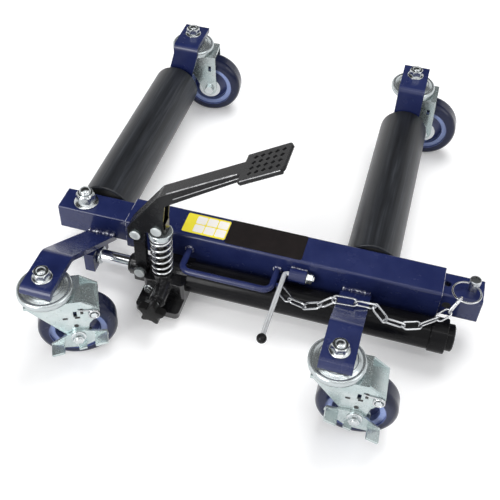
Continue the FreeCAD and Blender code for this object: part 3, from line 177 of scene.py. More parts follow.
class Graph:
    """Node tree of one material, built node by node."""

    def __init__(self, tree: bpy.types.NodeTree) -> None:
        """Start from an empty tree."""
        self.tree = tree
        tree.nodes.clear()

    def feed(self, socket: Socket, value: object) -> None:
        """Give an input its value.

        Args:
            socket: The input.
            value: A socket to link it to, or a plain value.
        """
        if isinstance(value, bpy.types.NodeSocket):
            self.tree.links.new(value, socket)
        else:
            socket.default_value = value

    def add(self, kind: str, inputs: Inputs | None = None, **settings: object) -> bpy.types.Node:
        """Add a node with its settings and inputs.

        Args:
            kind: Blender's name of the node type.
            inputs: Values or sockets for the node's inputs, by name or index.
            settings: Properties of the node.

        Returns:
            The new node.
        """
        node = self.tree.nodes.new(kind)
        for name, value in settings.items():
            setattr(node, name, value)
        for name, value in (inputs or {}).items():
            self.feed(node.inputs[name], value)
        return node

    def vector(self, operation: str, first: object, second: object = (0.0, 0.0, 0.0),
               result: str = "Vector") -> Socket:
        """Give the result of one step of vector arithmetic."""
        return self.add("ShaderNodeVectorMath", {0: first, 1: second}, operation=operation).outputs[result]

    def math(self, operation: str, first: object, second: object = 0.0) -> Socket:
        """Give the result of one arithmetic step."""
        return self.add("ShaderNodeMath", {0: first, 1: second}, operation=operation).outputs[0]

    def place(self, stretch: Point = (1.0, 1.0, 1.0), shift: Point = (0.0, 0.0, 0.0)) -> Socket:
        """Give the point on the piece, in metres, counted from a shifted origin and then stretched."""
        coords = self.add("ShaderNodeTexCoord").outputs["Object"]
        return self.vector("MULTIPLY", self.vector("SUBTRACT", coords, shift), stretch)

    def noise(self, place: Socket, scale: float, detail: float = 4.0, grain: float = 0.55) -> Socket:
        """Give fractal noise over a place."""
        inputs: Inputs = {"Vector": place, "Scale": scale, "Detail": detail, "Roughness": grain}
        return self.add("ShaderNodeTexNoise", inputs).outputs["Fac"]

    def spread(self, value: object, low: float, high: float, start: float = 0.0, end: float = 1.0) -> Socket:
        """Map a value from one span to another, held at its ends.

        Args:
            value: The socket that is mapped.
            low: Lower end of the span that is read.
            high: Upper end of the span that is read.
            start: Result at the lower end.
            end: Result at the upper end.

        Returns:
            The socket with the result.
        """
        inputs: Inputs = {"Value": value, "From Min": low, "From Max": high, "To Min": start, "To Max": end}
        return self.add("ShaderNodeMapRange", inputs).outputs["Result"]

    def patches(self, place: Socket, kind: Patches, start: float = 0.0, end: float = 1.0) -> Socket:
        """Give noise over a place, mapped from the span that counts to two ends."""
        noise = self.noise(place, kind.scale, kind.detail, kind.grain)
        return self.spread(noise, kind.low, kind.high, start, end)

    def blend(self, share: object, first: object, second: object) -> Socket:
        """Give a colour between two colours.

        Args:
            share: Share of the second colour.
            first: Colour or socket at share 0.
            second: Colour or socket at share 1.

        Returns:
            The socket with the colour.
        """
        full = [c if isinstance(c, bpy.types.NodeSocket) else (*c, 1.0) for c in (first, second)]
        return self.add("ShaderNodeMix", {0: share, 6: full[0], 7: full[1]}, data_type="RGBA").outputs[2]

    def ramp(self, value: Socket, stops: Stops) -> Socket:
        """Give a colour from a scale of colours.

        Args:
            value: Where on the scale to read.
            stops: Places on the scale with their colours.

        Returns:
            The socket with the colour.
        """
        node = self.add("ShaderNodeValToRGB", {"Fac": value})
        elements = node.color_ramp.elements
        while len(elements) < len(stops):
            elements.new(0.5)
        for element, (place, colour) in zip(elements, stops):
            element.position = place
            element.color = (*colour, 1.0)
        return node.outputs["Color"]

    def relief(self, place: Socket, kind: Relief) -> Socket:
        """Give a surface direction with fine relief and softened edges.

        Args:
            place: Place that the relief's noise is read over.
            kind: The relief.

        Returns:
            The socket with the direction.
        """
        height = self.noise(place, kind.scale, kind.detail, kind.grain)
        inputs: Inputs = {"Height": height, "Strength": kind.strength, "Distance": kind.depth}
        if kind.edge:
            soft = self.add("ShaderNodeBevel", {"Radius": kind.edge}, samples=EDGE_SAMPLES)
            inputs["Normal"] = soft.outputs["Normal"]
        return self.add("ShaderNodeBump", inputs).outputs["Normal"]

    def seen(self) -> Socket:
        """Tell what the camera sees straight, in a mirror or through glass.

        Returns:
            The socket with 1 where it does, or else 0.
        """
        path = self.add("ShaderNodeLightPath").outputs
        mirrored = self.math("MAXIMUM", path["Is Glossy Ray"], path["Is Transmission Ray"])
        return self.math("MAXIMUM", path["Is Camera Ray"], mirrored)

    def close(self, shown: Socket, kind: str = "ShaderNodeOutputMaterial") -> None:
        """End the tree with the output that shows a surface."""
        self.feed(self.add(kind).inputs["Surface"], shown)

    def surface(self, **inputs: object) -> None:
        """End the tree with a principled surface, whose inputs have underscores for spaces in their names."""
        named: Inputs = {name.replace("_", " "): value for name, value in inputs.items()}
        self.close(self.add("ShaderNodeBsdfPrincipled", named).outputs["BSDF"])


def blank_material(name: str) -> tuple[bpy.types.Material, Graph]:
    """Make a material with an empty node tree.

    Args:
        name: The material's name.

    Returns:
        The material and its tree.
    """
    made = bpy.data.materials.new(name)
    made.use_nodes = True
    return made, Graph(made.node_tree)


@dataclass(frozen=True)
class Finish:
    """A finish of the jack: its name and the way its material is drawn."""

    name: str

    def draw(self, graph: Graph) -> None:
        """Draw the material's nodes."""
        raise NotImplementedError

    def material(self) -> bpy.types.Material:
        """Give the material, made once.

        Returns:
            The material of this finish.
        """
        known = bpy.data.materials.get(self.name)
        if known is not None:
            return known
        made, graph = blank_material(self.name)
        self.draw(graph)
        return made


class CoatedFinish(Finish):
    """A finish under a thin clear coat, whose kinds have fields for the values named here."""

    rough: Pair
    smears: Patches
    shine: float
    coat: float
    coat_rough: float

    def cover(self, graph: Graph, place: Socket, tone: Socket, skin: Relief) -> None:
        """End the material's nodes with the coated surface.

        Args:
            graph: The material's node tree.
            place: The point on the piece.
            tone: The colour.
            skin: The relief of the surface.
        """
        graph.surface(Base_Color=tone, Roughness=graph.patches(place, self.smears, *self.rough),
                      IOR=SOLID_IOR, Specular_IOR_Level=self.shine, Coat_Weight=self.coat,
                      Coat_Roughness=self.coat_rough, Normal=graph.relief(place, skin))


@dataclass(frozen=True)
class GlossPaint(CoatedFinish):
    """Sprayed gloss paint with a little orange peel, dust, and bands of bare metal at given planes, which
    show rubbed paint and also paint the highlight of the sharp tube ends.
    """

    colour: Colour = (0.011, 0.017, 0.074)
    dusty: Colour = (0.019, 0.027, 0.098)
    bare: Colour = (0.55, 0.56, 0.62)
    rough: Pair = (0.19, 0.32)
    shine: float = 0.35
    coat: float = 0.22
    coat_rough: float = 0.05
    bare_and_highlit_planes: tuple[tuple[int, float], ...] = ()
    band_core: float = 0.00024
    band_width: float = 0.0006
    dust: Patches = Patches(26.0, 5.0, 0.36, 0.72)
    specks: Patches = Patches(900.0, 1.0, 0.72, 0.80)
    speck_share: float = 0.10
    chips: Patches = Patches(160.0, 3.0, 0.40, 0.52)
    smears: Patches = Patches(60.0, 4.0, 0.3, 0.8)
    peel: Relief = Relief(420.0, 2.0, 0.10, 0.0004, 0.0009)

    def bare_and_highlit_share(self, graph: Graph, place: Socket) -> Socket:
        """Give the share of bare metal along the given planes: rubbed paint, and a painted highlight on the
        sharp tube ends.

        Args:
            graph: The material's node tree.
            place: The point on the piece.

        Returns:
            The socket with the share.
        """
        axes = graph.add("ShaderNodeSeparateXYZ", {0: place}).outputs
        worn: object = 0.0
        for axis, plane in self.bare_and_highlit_planes:
            off = graph.math("ABSOLUTE", graph.math("SUBTRACT", axes[axis], plane))
            worn = graph.math("MAXIMUM", graph.spread(off, self.band_core, self.band_width, 1.0, 0.0), worn)
        return graph.math("MULTIPLY", worn, graph.patches(place, self.chips))

    def draw(self, graph: Graph) -> None:
        """Draw the paint's nodes.

        Args:
            graph: The material's node tree.
        """
        place = graph.place()
        tone = graph.blend(graph.patches(place, self.dust), self.colour, self.dusty)
        tone = graph.blend(graph.patches(place, self.specks, 0.0, self.speck_share), tone, self.bare)
        if self.bare_and_highlit_planes:
            tone = graph.blend(self.bare_and_highlit_share(graph, place), tone, self.bare)
        self.cover(graph, place, tone, self.peel)


@dataclass(frozen=True)
class Plating(Finish):
    """Bright plated steel: zinc or chrome, with faint cloudiness and brushing."""

    colour: Colour
    shade: Colour
    rough: Pair = (0.24, 0.32)
    metal: float = 1.0
    clouds: Patches = CLOUDED
    smears: Patches = Patches(140.0, 5.0)
    brushing: Relief = BRUSHED

    def draw(self, graph: Graph) -> None:
        """Draw the plating's nodes.

        Args:
            graph: The material's node tree.
        """
        place = graph.place()
        tone = graph.blend(graph.patches(place, self.clouds), self.shade, self.colour)
        graph.surface(Base_Color=tone, Metallic=self.metal, Normal=graph.relief(place, self.brushing),
                      Roughness=graph.patches(place, self.smears, *self.rough))


@dataclass(frozen=True)
class RollerCoat(Finish):
    """Dark drawn tube with streaks along its length."""

    stops: Stops = (
        (0.36, (0.010, 0.0105, 0.012)), (0.52, (0.020, 0.022, 0.026)), (0.70, (0.058, 0.063, 0.074)))
    stretch: Point = (1.0, 0.035, 1.0)
    broad: Point = (70.0, 5.0, 0.62)
    thin: Point = (420.0, 4.0, 0.6)
    scuffs: Pair = (38.0, 6.0)
    broad_share: float = 0.65
    thin_share: float = 0.35
    scuff_share: float = 0.3
    dull_span: Pair = (0.4, 0.95)
    rough: Pair = (0.26, 0.50)
    metal: float = 0.1
    shine: float = 0.35
    drawn: Relief = Relief(420.0, 4.0, 0.22, 0.0005, 0.0006, 0.6)

    def draw(self, graph: Graph) -> None:
        """Draw the coat's nodes.

        Args:
            graph: The material's node tree.
        """
        streaked = graph.place(self.stretch)
        broad = graph.math("MULTIPLY", graph.noise(streaked, *self.broad), self.broad_share)
        thin = graph.math("MULTIPLY", graph.noise(streaked, *self.thin), self.thin_share)
        scuff = graph.math("MULTIPLY", graph.noise(graph.place(), *self.scuffs), self.scuff_share)
        mix = graph.math("ADD", broad, thin)
        dull = graph.spread(graph.math("ADD", mix, scuff), *self.dull_span, *self.rough)
        graph.surface(Base_Color=graph.ramp(mix, self.stops), Metallic=self.metal, Roughness=dull,
                      IOR=SOLID_IOR, Specular_IOR_Level=self.shine, Normal=graph.relief(streaked, self.drawn))


@dataclass(frozen=True)
class MouldedBlack(CoatedFinish):
    """Black paint or plastic with fine moulded or sprayed grain."""

    colour: Colour
    worn: Colour
    rough: Pair = (0.18, 0.32)
    shine: float = 0.35
    coat: float = 0.2
    coat_rough: float = 0.06
    clouds: Patches = Patches(34.0, 5.0, 0.40, 0.75)
    smears: Patches = Patches(75.0)
    skin: Relief = SPRAYED

    def draw(self, graph: Graph) -> None:
        """Draw the black finish's nodes.

        Args:
            graph: The material's node tree.
        """
        place = graph.place()
        tone = graph.blend(graph.patches(place, self.clouds), self.colour, self.worn)
        self.cover(graph, place, tone, self.skin)


@dataclass(frozen=True)
class WheelFinish(CoatedFinish):
    """Caster wheel whose colour changes with the distance from its axle."""

    stops: Stops
    centre: Point = (0.0, 0.0, 0.0)
    axle: Point = (0.0, 1.0, 0.0)
    reach: float = 0.050
    rough: Pair = (0.24, 0.40)
    shine: float = 0.35
    coat: float = 0.15
    coat_rough: float = 0.10
    chalk: Colour = (0.20, 0.22, 0.32)
    chalk_span: Pair = (0.45, 0.9)
    chalk_share: float = 0.2
    cloud_scale: float = 60.0
    cloud_mean: float = 0.5
    wander: float = 0.0012
    smears: Patches = Patches(110.0)
    skin: Relief = Relief(520.0, 2.0, 0.08, 0.0003, 0.0006)

    def draw(self, graph: Graph) -> None:
        """Draw the wheel's nodes.

        Args:
            graph: The material's node tree.
        """
        place = graph.place(shift=self.centre)
        along = graph.vector("DOT_PRODUCT", place, self.axle, "Value")
        drop = graph.add("ShaderNodeVectorMath", {0: self.axle, "Scale": along}, operation="SCALE").outputs[0]
        out = graph.vector("LENGTH", graph.vector("SUBTRACT", place, drop), result="Value")
        cloud = graph.noise(place, self.cloud_scale)
        wobble = graph.math("MULTIPLY", graph.math("SUBTRACT", cloud, self.cloud_mean), self.wander)
        share = graph.math("DIVIDE", graph.math("ADD", out, wobble), self.reach)
        chalky = graph.spread(cloud, *self.chalk_span, 0.0, self.chalk_share)
        tone = graph.blend(chalky, graph.ramp(share, self.stops), self.chalk)
        self.cover(graph, place, tone, self.skin)


@dataclass(frozen=True)
class WeldMetal(Finish):
    """Weld bead: rippled steel, partly covered by paint."""

    steel: Colour = (0.62, 0.63, 0.68)
    paint: Colour = (0.020, 0.023, 0.10)
    rough: float = 0.28
    bare: Patches = Patches(210.0, 4.0, 0.46, 0.56, 0.6)
    metal_span: Pair = (0.3, 0.7)
    metal: Pair = (0.1, 0.9)
    ripples: Relief = Relief(380.0, 4.0, 0.5, 0.0006)

    def draw(self, graph: Graph) -> None:
        """Draw the weld's nodes.

        Args:
            graph: The material's node tree.
        """
        place = graph.place()
        patch = graph.patches(place, self.bare)
        graph.surface(Base_Color=graph.blend(patch, self.paint, self.steel), Roughness=self.rough,
                      IOR=SOLID_IOR, Metallic=graph.spread(patch, *self.metal_span, *self.metal),
                      Normal=graph.relief(place, self.ripples))


@dataclass(frozen=True)
class LabelFilm(Finish):
    """Plain printed film with a satin laminate."""

    colour: Colour
    aged: Colour
    rough: Pair = (0.29, 0.40)
    shine: float = 0.5
    ageing: Patches = Patches(90.0, 4.0, 0.35, 0.75)
    smears: Patches = Patches(300.0, 3.0, 0.3, 0.7)
    skin: Relief = Relief(240.0, 2.0, 0.05, 0.0002)

    def draw(self, graph: Graph) -> None:
        """Draw the film's nodes.

        Args:
            graph: The material's node tree.
        """
        place = graph.place()
        tone = graph.blend(graph.patches(place, self.ageing), self.colour, self.aged)
        graph.surface(Base_Color=tone, Roughness=graph.patches(place, self.smears, *self.rough), IOR=FILM_IOR,
                      Specular_IOR_Level=self.shine, Normal=graph.relief(place, self.skin))


NAVY = GlossPaint("navy gloss paint")
COAT = RollerCoat("roller coat")
WELD = WeldMetal("weld bead")
BLACK = MouldedBlack(
    "black gloss paint", (0.008, 0.008, 0.009), (0.013, 0.013, 0.014), shine=0.14, coat=0.05)
CAST_BLACK = MouldedBlack(
    "black paint on casting", (0.006, 0.006, 0.007), (0.016, 0.016, 0.017), (0.16, 0.30), shine=0.60,
    coat=0.45, skin=replace(SPRAYED, scale=260.0, strength=0.2))
TUBE_BLACK = MouldedBlack(
    "black paint on tube", (0.004, 0.004, 0.005), (0.007, 0.007, 0.008), (0.14, 0.28), shine=0.10,
    coat=0.06, skin=replace(SPRAYED, scale=500.0, strength=0.05))
KNOB_BLACK = MouldedBlack(
    "black moulded plastic", (0.006, 0.006, 0.006), (0.012, 0.012, 0.012), (0.32, 0.46), shine=0.14,
    coat=0.02, skin=replace(SPRAYED, strength=0.3))
# also the dark of the slabs and disc that paint the shade in the slots and holes
BUSH_AND_SHADE_BLACK = MouldedBlack("bush plastic and painted shade", (0.02, 0.02, 0.02), (0.05, 0.05, 0.05), (0.46, 0.60), coat=0.0)
ZINC = Plating(
    "bright zinc", (0.60, 0.64, 0.635), (0.42, 0.51, 0.515), (0.22, 0.30), metal=0.78,
    clouds=replace(CLOUDED, scale=24.0))
ZINC_DULL = Plating("satin zinc", (0.58, 0.61, 0.61), (0.50, 0.53, 0.53), (0.34, 0.42), metal=0.6)
ZINC_BRIGHT = Plating("polished zinc", (0.64, 0.67, 0.68), (0.54, 0.57, 0.58), (0.20, 0.26))
ROLLED = Plating("rolled zinc", (0.50, 0.54, 0.55), (0.44, 0.48, 0.49), (0.22, 0.27), metal=0.8)
DARK_STEEL = Plating("dark steel", (0.10, 0.095, 0.085), (0.05, 0.05, 0.05), (0.14, 0.20))
# pale steel for the beads that paint the highlight lines along the pedal's edges
EDGE_HIGHLIGHT_STEEL = Plating(
    "painted edge highlight", (0.66, 0.66, 0.67), (0.26, 0.26, 0.27), brushing=replace(BRUSHED, strength=0.3))
CHROME = Plating(
    "chrome", (0.78, 0.79, 0.80), (0.70, 0.71, 0.73), (0.10, 0.16), brushing=replace(BRUSHED, strength=0.03))
STEEL_WIRE = Plating(
    "bright steel wire", (0.62, 0.63, 0.64), (0.46, 0.47, 0.49), (0.16, 0.24),
    brushing=replace(BRUSHED, edge=0.0))
KNURLED = Plating(
    "rough zinc cap", (0.66, 0.68, 0.70), (0.36, 0.38, 0.40), (0.26, 0.34),
    brushing=replace(BRUSHED, strength=1.0))
PALE_PLATE = Plating("pale bright plate", (0.84, 0.86, 0.87), (0.72, 0.74, 0.76), (0.14, 0.19), metal=0.45)
RIM = WheelFinish("rim", (
    (0.26, (0.07, 0.09, 0.21)), (0.40, (0.040, 0.052, 0.15)), (0.555, (0.060, 0.080, 0.22)),
    (0.575, (0.24, 0.31, 0.58)), (0.72, (0.30, 0.38, 0.66))))
TREAD = WheelFinish("tread", (
    (0.715, (0.10, 0.13, 0.30)), (0.74, (0.013, 0.018, 0.054)), (1.0, (0.008, 0.011, 0.032))),
    rough=(0.14, 0.30), shine=0.22, coat=0.12, chalk_share=0.02)
LABEL_YELLOW = LabelFilm("yellow film", (0.90, 0.79, 0.055), (0.87, 0.74, 0.04))
LABEL_PALE = LabelFilm("pale film", (0.90, 0.87, 0.83), (0.87, 0.83, 0.77))
LABEL_DARK = LabelFilm("dark film", (0.010, 0.008, 0.008), (0.014, 0.011, 0.011), (0.37, 0.48), shine=0.22)


def dress(finish: Finish, *nodes: str) -> None:
    """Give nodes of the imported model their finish.

    Args:
        finish: The finish that they show.
        nodes: Names of the nodes.
    """
    for node in nodes:
        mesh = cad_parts[node].data
        mesh.materials.clear()
        mesh.materials.append(finish.material())
        LOG.info("dressed %s in %s", node, finish.name)


def hexagonal(apothem: float) -> RingShape:
    """Give a ring shape that is cut by six flats.

    Args:
        apothem: Half the width across flats, in millimetres.

    Returns:
        A function from radius and angle to the radius there.
    """
    def reach(radius: float, angle: float) -> float:
        """Give the radius at an angle, cut by the nearest flat."""
        turn = (angle + math.pi / 6) % (math.pi / 3) - math.pi / 6
        return min(radius, apothem / math.cos(turn))
    return reach


def starred(tip: float, valley: float, points: int, hollow: float = 1.5) -> RingShape:
    """Give a ring shape that is cut to a star with hollow flanks.

    Args:
        tip: Radius of the points in millimetres.
        valley: Radius between the points in millimetres.
        points: How many points there are.
        hollow: How hollow the flanks are, over 1.

    Returns:
        A function from radius and angle to the radius there.
    """
    def reach(radius: float, angle: float) -> float:
        """Give the radius at an angle, cut back to the star."""
        share = abs((angle * points / math.tau) % 1.0 - 0.5) * 2
        return min(radius, valley + (tip - valley) * share ** hollow)
    return reach


def ring(centre: Point, axis: Vector, radius: float, steps: int = 40) -> list[Vector]:
    """Give the points of a circle.

    Args:
        centre: Its middle in millimetres of the drawing.
        axis: Direction square to it.
        radius: Its radius in millimetres.
        steps: How many points it has.

    Returns:
        The points in metres.
    """
    side = axis.orthogonal().normalized()
    other = axis.normalized().cross(side)
    turns = [math.tau * i / steps for i in range(steps)]
    return [at(*centre) + (side * math.cos(a) + other * math.sin(a)) * radius * MM for a in turns]


def line(start: Point, end: Point, step: float = 1.1) -> list[Vector]:
    """Give points along a straight run.

    Args:
        start: First point in millimetres of the drawing.
        end: Last point in millimetres of the drawing.
        step: Distance between two points in millimetres.

    Returns:
        The points in metres.
    """
    first, last = at(*start), at(*end)
    count = max(2, round((last - first).length / (step * MM)))
    return [first.lerp(last, i / count) for i in range(count + 1)]


@dataclass(frozen=True)
class Turning:
    """A turned form: pairs of radius and height in millimetres, points round a ring, and its shape."""

    profile: Profile
    steps: int = 48
    shape: RingShape | None = None

    def reach(self, radius: float, angle: float) -> float:
        """Give the radius of a ring at an angle."""
        return self.shape(radius, angle) if self.shape else radius


class Mesher:
    """A mesh of one piece, built from rings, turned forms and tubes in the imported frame."""

    def __init__(self) -> None:
        """Start with no faces."""
        self.bm = bmesh.new()

    def rings(self, rows: Sequence[Sequence[Vector]], loop: bool = False) -> Self:
        """Join rows of points, each a closed ring, into a skin with closed ends.

        Args:
            rows: The rings, each with the same number of points.
            loop: Whether the last ring joins the first, so that there are no ends.

        Returns:
            This mesh, for the next form.
        """
        made = [[self.bm.verts.new(p) for p in row] for row in rows]
        pairs = list(zip(made, made[1:])) + ([(made[-1], made[0])] if loop else [])
        count = len(made[0])
        for low, high in pairs:
            for i in range(count):
                j = (i + 1) % count
                self.bm.faces.new((low[i], low[j], high[j], high[i]))
        if not loop:
            self.bm.faces.new(list(reversed(made[0])))
            self.bm.faces.new(made[-1])
        return self

    def turned(self, form: Turning, foot: Vector, axis: Vector) -> Self:
        """Turn a form about an axis.

        Args:
            form: The turned form.
            foot: Where height 0 lies on the axis.
            axis: Direction of the axis.

        Returns:
            This mesh, for the next form.
        """
        axis = axis.normalized()
        side = axis.orthogonal().normalized()
        other = axis.cross(side)
        rows = []
        for radius, height in form.profile:
            row = []
            for i in range(form.steps):
                angle = math.tau * i / form.steps
                way = side * math.cos(angle) + other * math.sin(angle)
                row.append(foot + (axis * height + way * form.reach(radius, angle)) * MM)
            rows.append(row)
        return self.rings(rows)

    def tube(self, path: Sequence[Vector], radius: float, sides: int = 12, loop: bool = False,
             ripple: float = 0.0) -> Self:
        """Sweep a round section along a path.

        Args:
            path: Points of the path in metres.
            radius: Radius of the section in millimetres.
            sides: Points round the section.
            loop: Whether the path closes on itself.
            ripple: Share by which the radius swells and shrinks along the path, in two uneven waves.

        Returns:
            This mesh, for the next form.
        """
        count = len(path)
        normal = (path[1] - path[-1 if loop else 0]).orthogonal()
        rows = []
        for i, point in enumerate(path):
            before = path[i - 1] if loop or i else path[i]
            after = path[(i + 1) % count] if loop or i + 1 < count else path[i]
            way = (after - before).normalized()
            normal = (normal - way * normal.dot(way)).normalized()
            side = way.cross(normal)
            wave = sum(size * math.sin(turn * i + start) for size, turn, start in RIPPLE_WAVES)
            swell = radius * MM * (1 + ripple * wave)
            rows.append([point + (normal * math.cos(a) + side * math.sin(a)) * swell
                         for a in (math.tau * k / sides for k in range(sides))])
        return self.rings(rows, loop)

    def slab(self, outline: Sequence[Vector], depth: Vector) -> Self:
        """Raise a flat outline into a slab as deep as a vector says."""
        return self.rings([list(outline), [p + depth for p in outline]])

    def piece(self, name: str, finish: Finish, body: Body | None, slot: Slot, stands_for: Sequence[str] = (),
              sharp: float = EDGE_SHARP) -> bpy.types.Object:
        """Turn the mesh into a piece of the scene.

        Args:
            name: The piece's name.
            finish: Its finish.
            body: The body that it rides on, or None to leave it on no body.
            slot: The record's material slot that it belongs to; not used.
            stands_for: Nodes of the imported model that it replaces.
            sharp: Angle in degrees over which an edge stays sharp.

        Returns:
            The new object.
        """
        bmesh.ops.recalc_face_normals(self.bm, faces=self.bm.faces)
        mesh = bpy.data.meshes.new(name)
        self.bm.to_mesh(mesh)
        self.bm.free()
        mesh.shade_smooth()
        mesh.set_sharp_from_angle(angle=math.radians(sharp))
        mesh.materials.append(finish.material())
        made = bpy.data.objects.new(name, mesh)
        bpy.context.scene.collection.objects.link(made)
        if body is not None:
            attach(made, body.value)
        if stands_for:
            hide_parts(*stands_for)
        LOG.info("built %s with %d faces", name, len(mesh.polygons))
        return made


@dataclass(frozen=True)
class Trim:
    """A turned piece: how it is named, finished and carried, and its forms on one axis."""

    name: str
    finish: Finish
    body: Body
    slot: Slot
    foot: Point
    axis: Vector
    forms: tuple[Turning, ...]
    stands_for: tuple[str, ...] = ()
    sharp: float = EDGE_SHARP

    def build(self) -> None:
        """Turn the forms into one piece."""
        mesher = Mesher()
        for form in self.forms:
            mesher.turned(form, at(*self.foot), self.axis)
        mesher.piece(self.name, self.finish, self.body, self.slot, self.stands_for, self.sharp)


@dataclass(frozen=True)
class Weld:
    """A rippled weld bead along a path."""

    name: str
    body: Body
    path: Sequence[Vector]
    radius: float
    loop: bool = False
    sides: int = 10
    ripple: float = 0.16
    sharp: float = 70.0

    def build(self) -> None:
        """Lay the bead."""
        bead = Mesher().tube(self.path, self.radius, self.sides, self.loop, self.ripple)
        bead.piece(self.name, WELD, self.body, Slot.NAVY, sharp=self.sharp)


@dataclass
class Beam:
    """The two square tubes with the pieces on the outer one: label panels, handle and latch sleeve."""

    outer_ends: Pair = (0.0, 432.0)
    inner_ends: Pair = (-101.5, 484.0)
    top: float = 93.0
    film: float = 0.25
    dark: Span = (139.6, 246.0, 2.6, 47.6)
    dark_corner: float = 3.0
    yellow: Span = (78.0, 139.0, 7.0, 43.0)
    yellow_corner: float = 2.5
    tile_rows: int = 2
    tile_columns: int = 3
    tile: Pair = (14.0, 14.2)
    tile_gaps: Pair = (1.4, 2.0)
    tile_margins: Pair = (1.6, 2.8)
    tile_corner: float = 1.6
    corner_steps: int = 6
    # dark disc that paints the shade inside the inner tube's front hole
    plug: Trim = Trim("front_hole_shade_disc", BUSH_AND_SHADE_BLACK, Body.ARM, Slot.NAVY, (441.0, 6.2, 68.0), FAR, (
        Turning(((MIDDLE, 0.0), (6.0, 0.0), (6.0, 0.8), (MIDDLE, 0.8)), 40),))
    welds: tuple[Weld, ...] = (
        Weld("handle_left_weld", Body.FRAME, ring((92.5, -0.6, 68.2), FAR, 5.0), 1.6, True),
        Weld("handle_right_weld", Body.FRAME, ring((216.0, -0.6, 68.2), FAR, 5.0), 1.6, True),
        Weld("sleeve_weld", Body.FRAME, line((234.5, -0.9, 79.4), (256.5, -0.9, 79.4)), 1.5),
    )

    def build(self) -> None:
        """Dress the tubes, handle and sleeve, and add the dark disc that paints the shade in the front hole,
        the welds and the label panels.
        """
        for node, ends in (("outer_tube", self.outer_ends), ("inner_tube", self.inner_ends)):
            # bands at the tube ends: rubbed paint, and also a painted highlight along the sharp end edges
            bare_and_highlit_planes = tuple((0, at(x, 0.0, 0.0).x) for x in ends)
            dress(GlossPaint(f"navy paint on {node.replace('_', ' ')}", bare_and_highlit_planes=bare_and_highlit_planes), node)
        dress(NAVY, "carry_handle", "latch_sleeve")
        for part in (self.plug, *self.welds):
            part.build()
        self.panel("dark_panel", self.dark, self.top, LABEL_DARK, self.dark_corner)
        self.panel("yellow_panel", self.yellow, self.top, LABEL_YELLOW, self.yellow_corner)
        self.tiles()

    def panel(self, name: str, span: Span, level: float, finish: Finish, corner: float) -> None:
        """Lay a thin film with rounded corners on the tube's top.

        Args:
            name: The piece's name.
            span: Left, right, front and back edges in millimetres.
            level: Height that the film lies on, in millimetres.
            finish: The film's finish.
            corner: Radius of its corners in millimetres.
        """
        left, right, front, back = span
        outline = []
        for x, y, start in ((right - corner, back - corner, 0), (left + corner, back - corner, 90),
                            (left + corner, front + corner, 180), (right - corner, front + corner, 270)):
            for k in range(self.corner_steps + 1):
                angle = math.radians(start + 90 * k / self.corner_steps)
                outline.append(at(x + corner * math.cos(angle), y + corner * math.sin(angle), level))
        Mesher().slab(outline, UP * self.film * MM).piece(name, finish, Body.FRAME, Slot.NAVY)

    def tiles(self) -> None:
        """Lay the blank pale tiles on the yellow film, counted from its right front corner."""
        wide, deep = self.tile
        gap, row_gap = self.tile_gaps
        right, front = self.yellow[1] - self.tile_margins[0], self.yellow[2] + self.tile_margins[1]
        for row in range(self.tile_rows):
            for column in range(self.tile_columns):
                x = right - (self.tile_columns - column) * (wide + gap) + gap
                y = front + row * (deep + row_gap)
                self.panel(f"blank_tile_{row}_{column}", (x, x + wide, y, y + deep), self.top + self.film,
                           LABEL_PALE, self.tile_corner)


@dataclass
class Rollers:
    """The two long rollers, their bushes and axles."""

    def build(self) -> None:
        """Dress the rollers."""
        for side in Side:
            dress(COAT, f"{side.word}_roller")
            dress(BUSH_AND_SHADE_BLACK, f"{side.word}_roller_bushes")
            dress(ZINC_DULL, f"{side.word}_roller_axle")


@dataclass
class Brackets:
    """The four bent brackets that carry the casters, and the welds at their feet and at the axles."""

    welds: tuple[Weld, ...] = (
        Weld("left_foot_weld", Body.ARM, line((-57.0, 3.6, 56.0), (-19.5, 3.6, 56.0), 1.5), 3.3),
        Weld("left_foot_weld_low", Body.ARM, line((-57.0, -0.6, 55.0), (-19.5, -0.6, 55.0), 1.7), 2.6),
        Weld("right_foot_weld", Body.FRAME, line((306.0, -1.0, 62.6), (343.0, -1.0, 62.6)), 2.3),
        Weld("left_axle_weld", Body.ARM, ring((-50.7, 369.4, 63.0), FAR, 10.8), 1.6, True),
        Weld("right_axle_weld", Body.FRAME, ring((334.0, 369.4, 63.0), FAR, 10.8), 1.6, True),
    )

    def build(self) -> None:
        """Dress the brackets and lay the welds."""
        dress(NAVY, *(f"{side.word}_{end}_bracket" for side in Side for end in ("front", "rear")))
        for weld in self.welds:
            weld.build()


@dataclass(frozen=True)
class BrakeSpring:
    """The wire spring of a front brake, which starts on the fork's cheek and winds on the hook bolt."""

    start: Profile = ((36.0, 97.5), (44.0, 95.6))
    stand: float = 1.1
    radius: float = 6.4
    wire: float = 0.9
    sides: int = 10
    points: int = 60
    first_angle: float = 110.0
    step_angle: float = -18.0
    step_out: float = 0.045


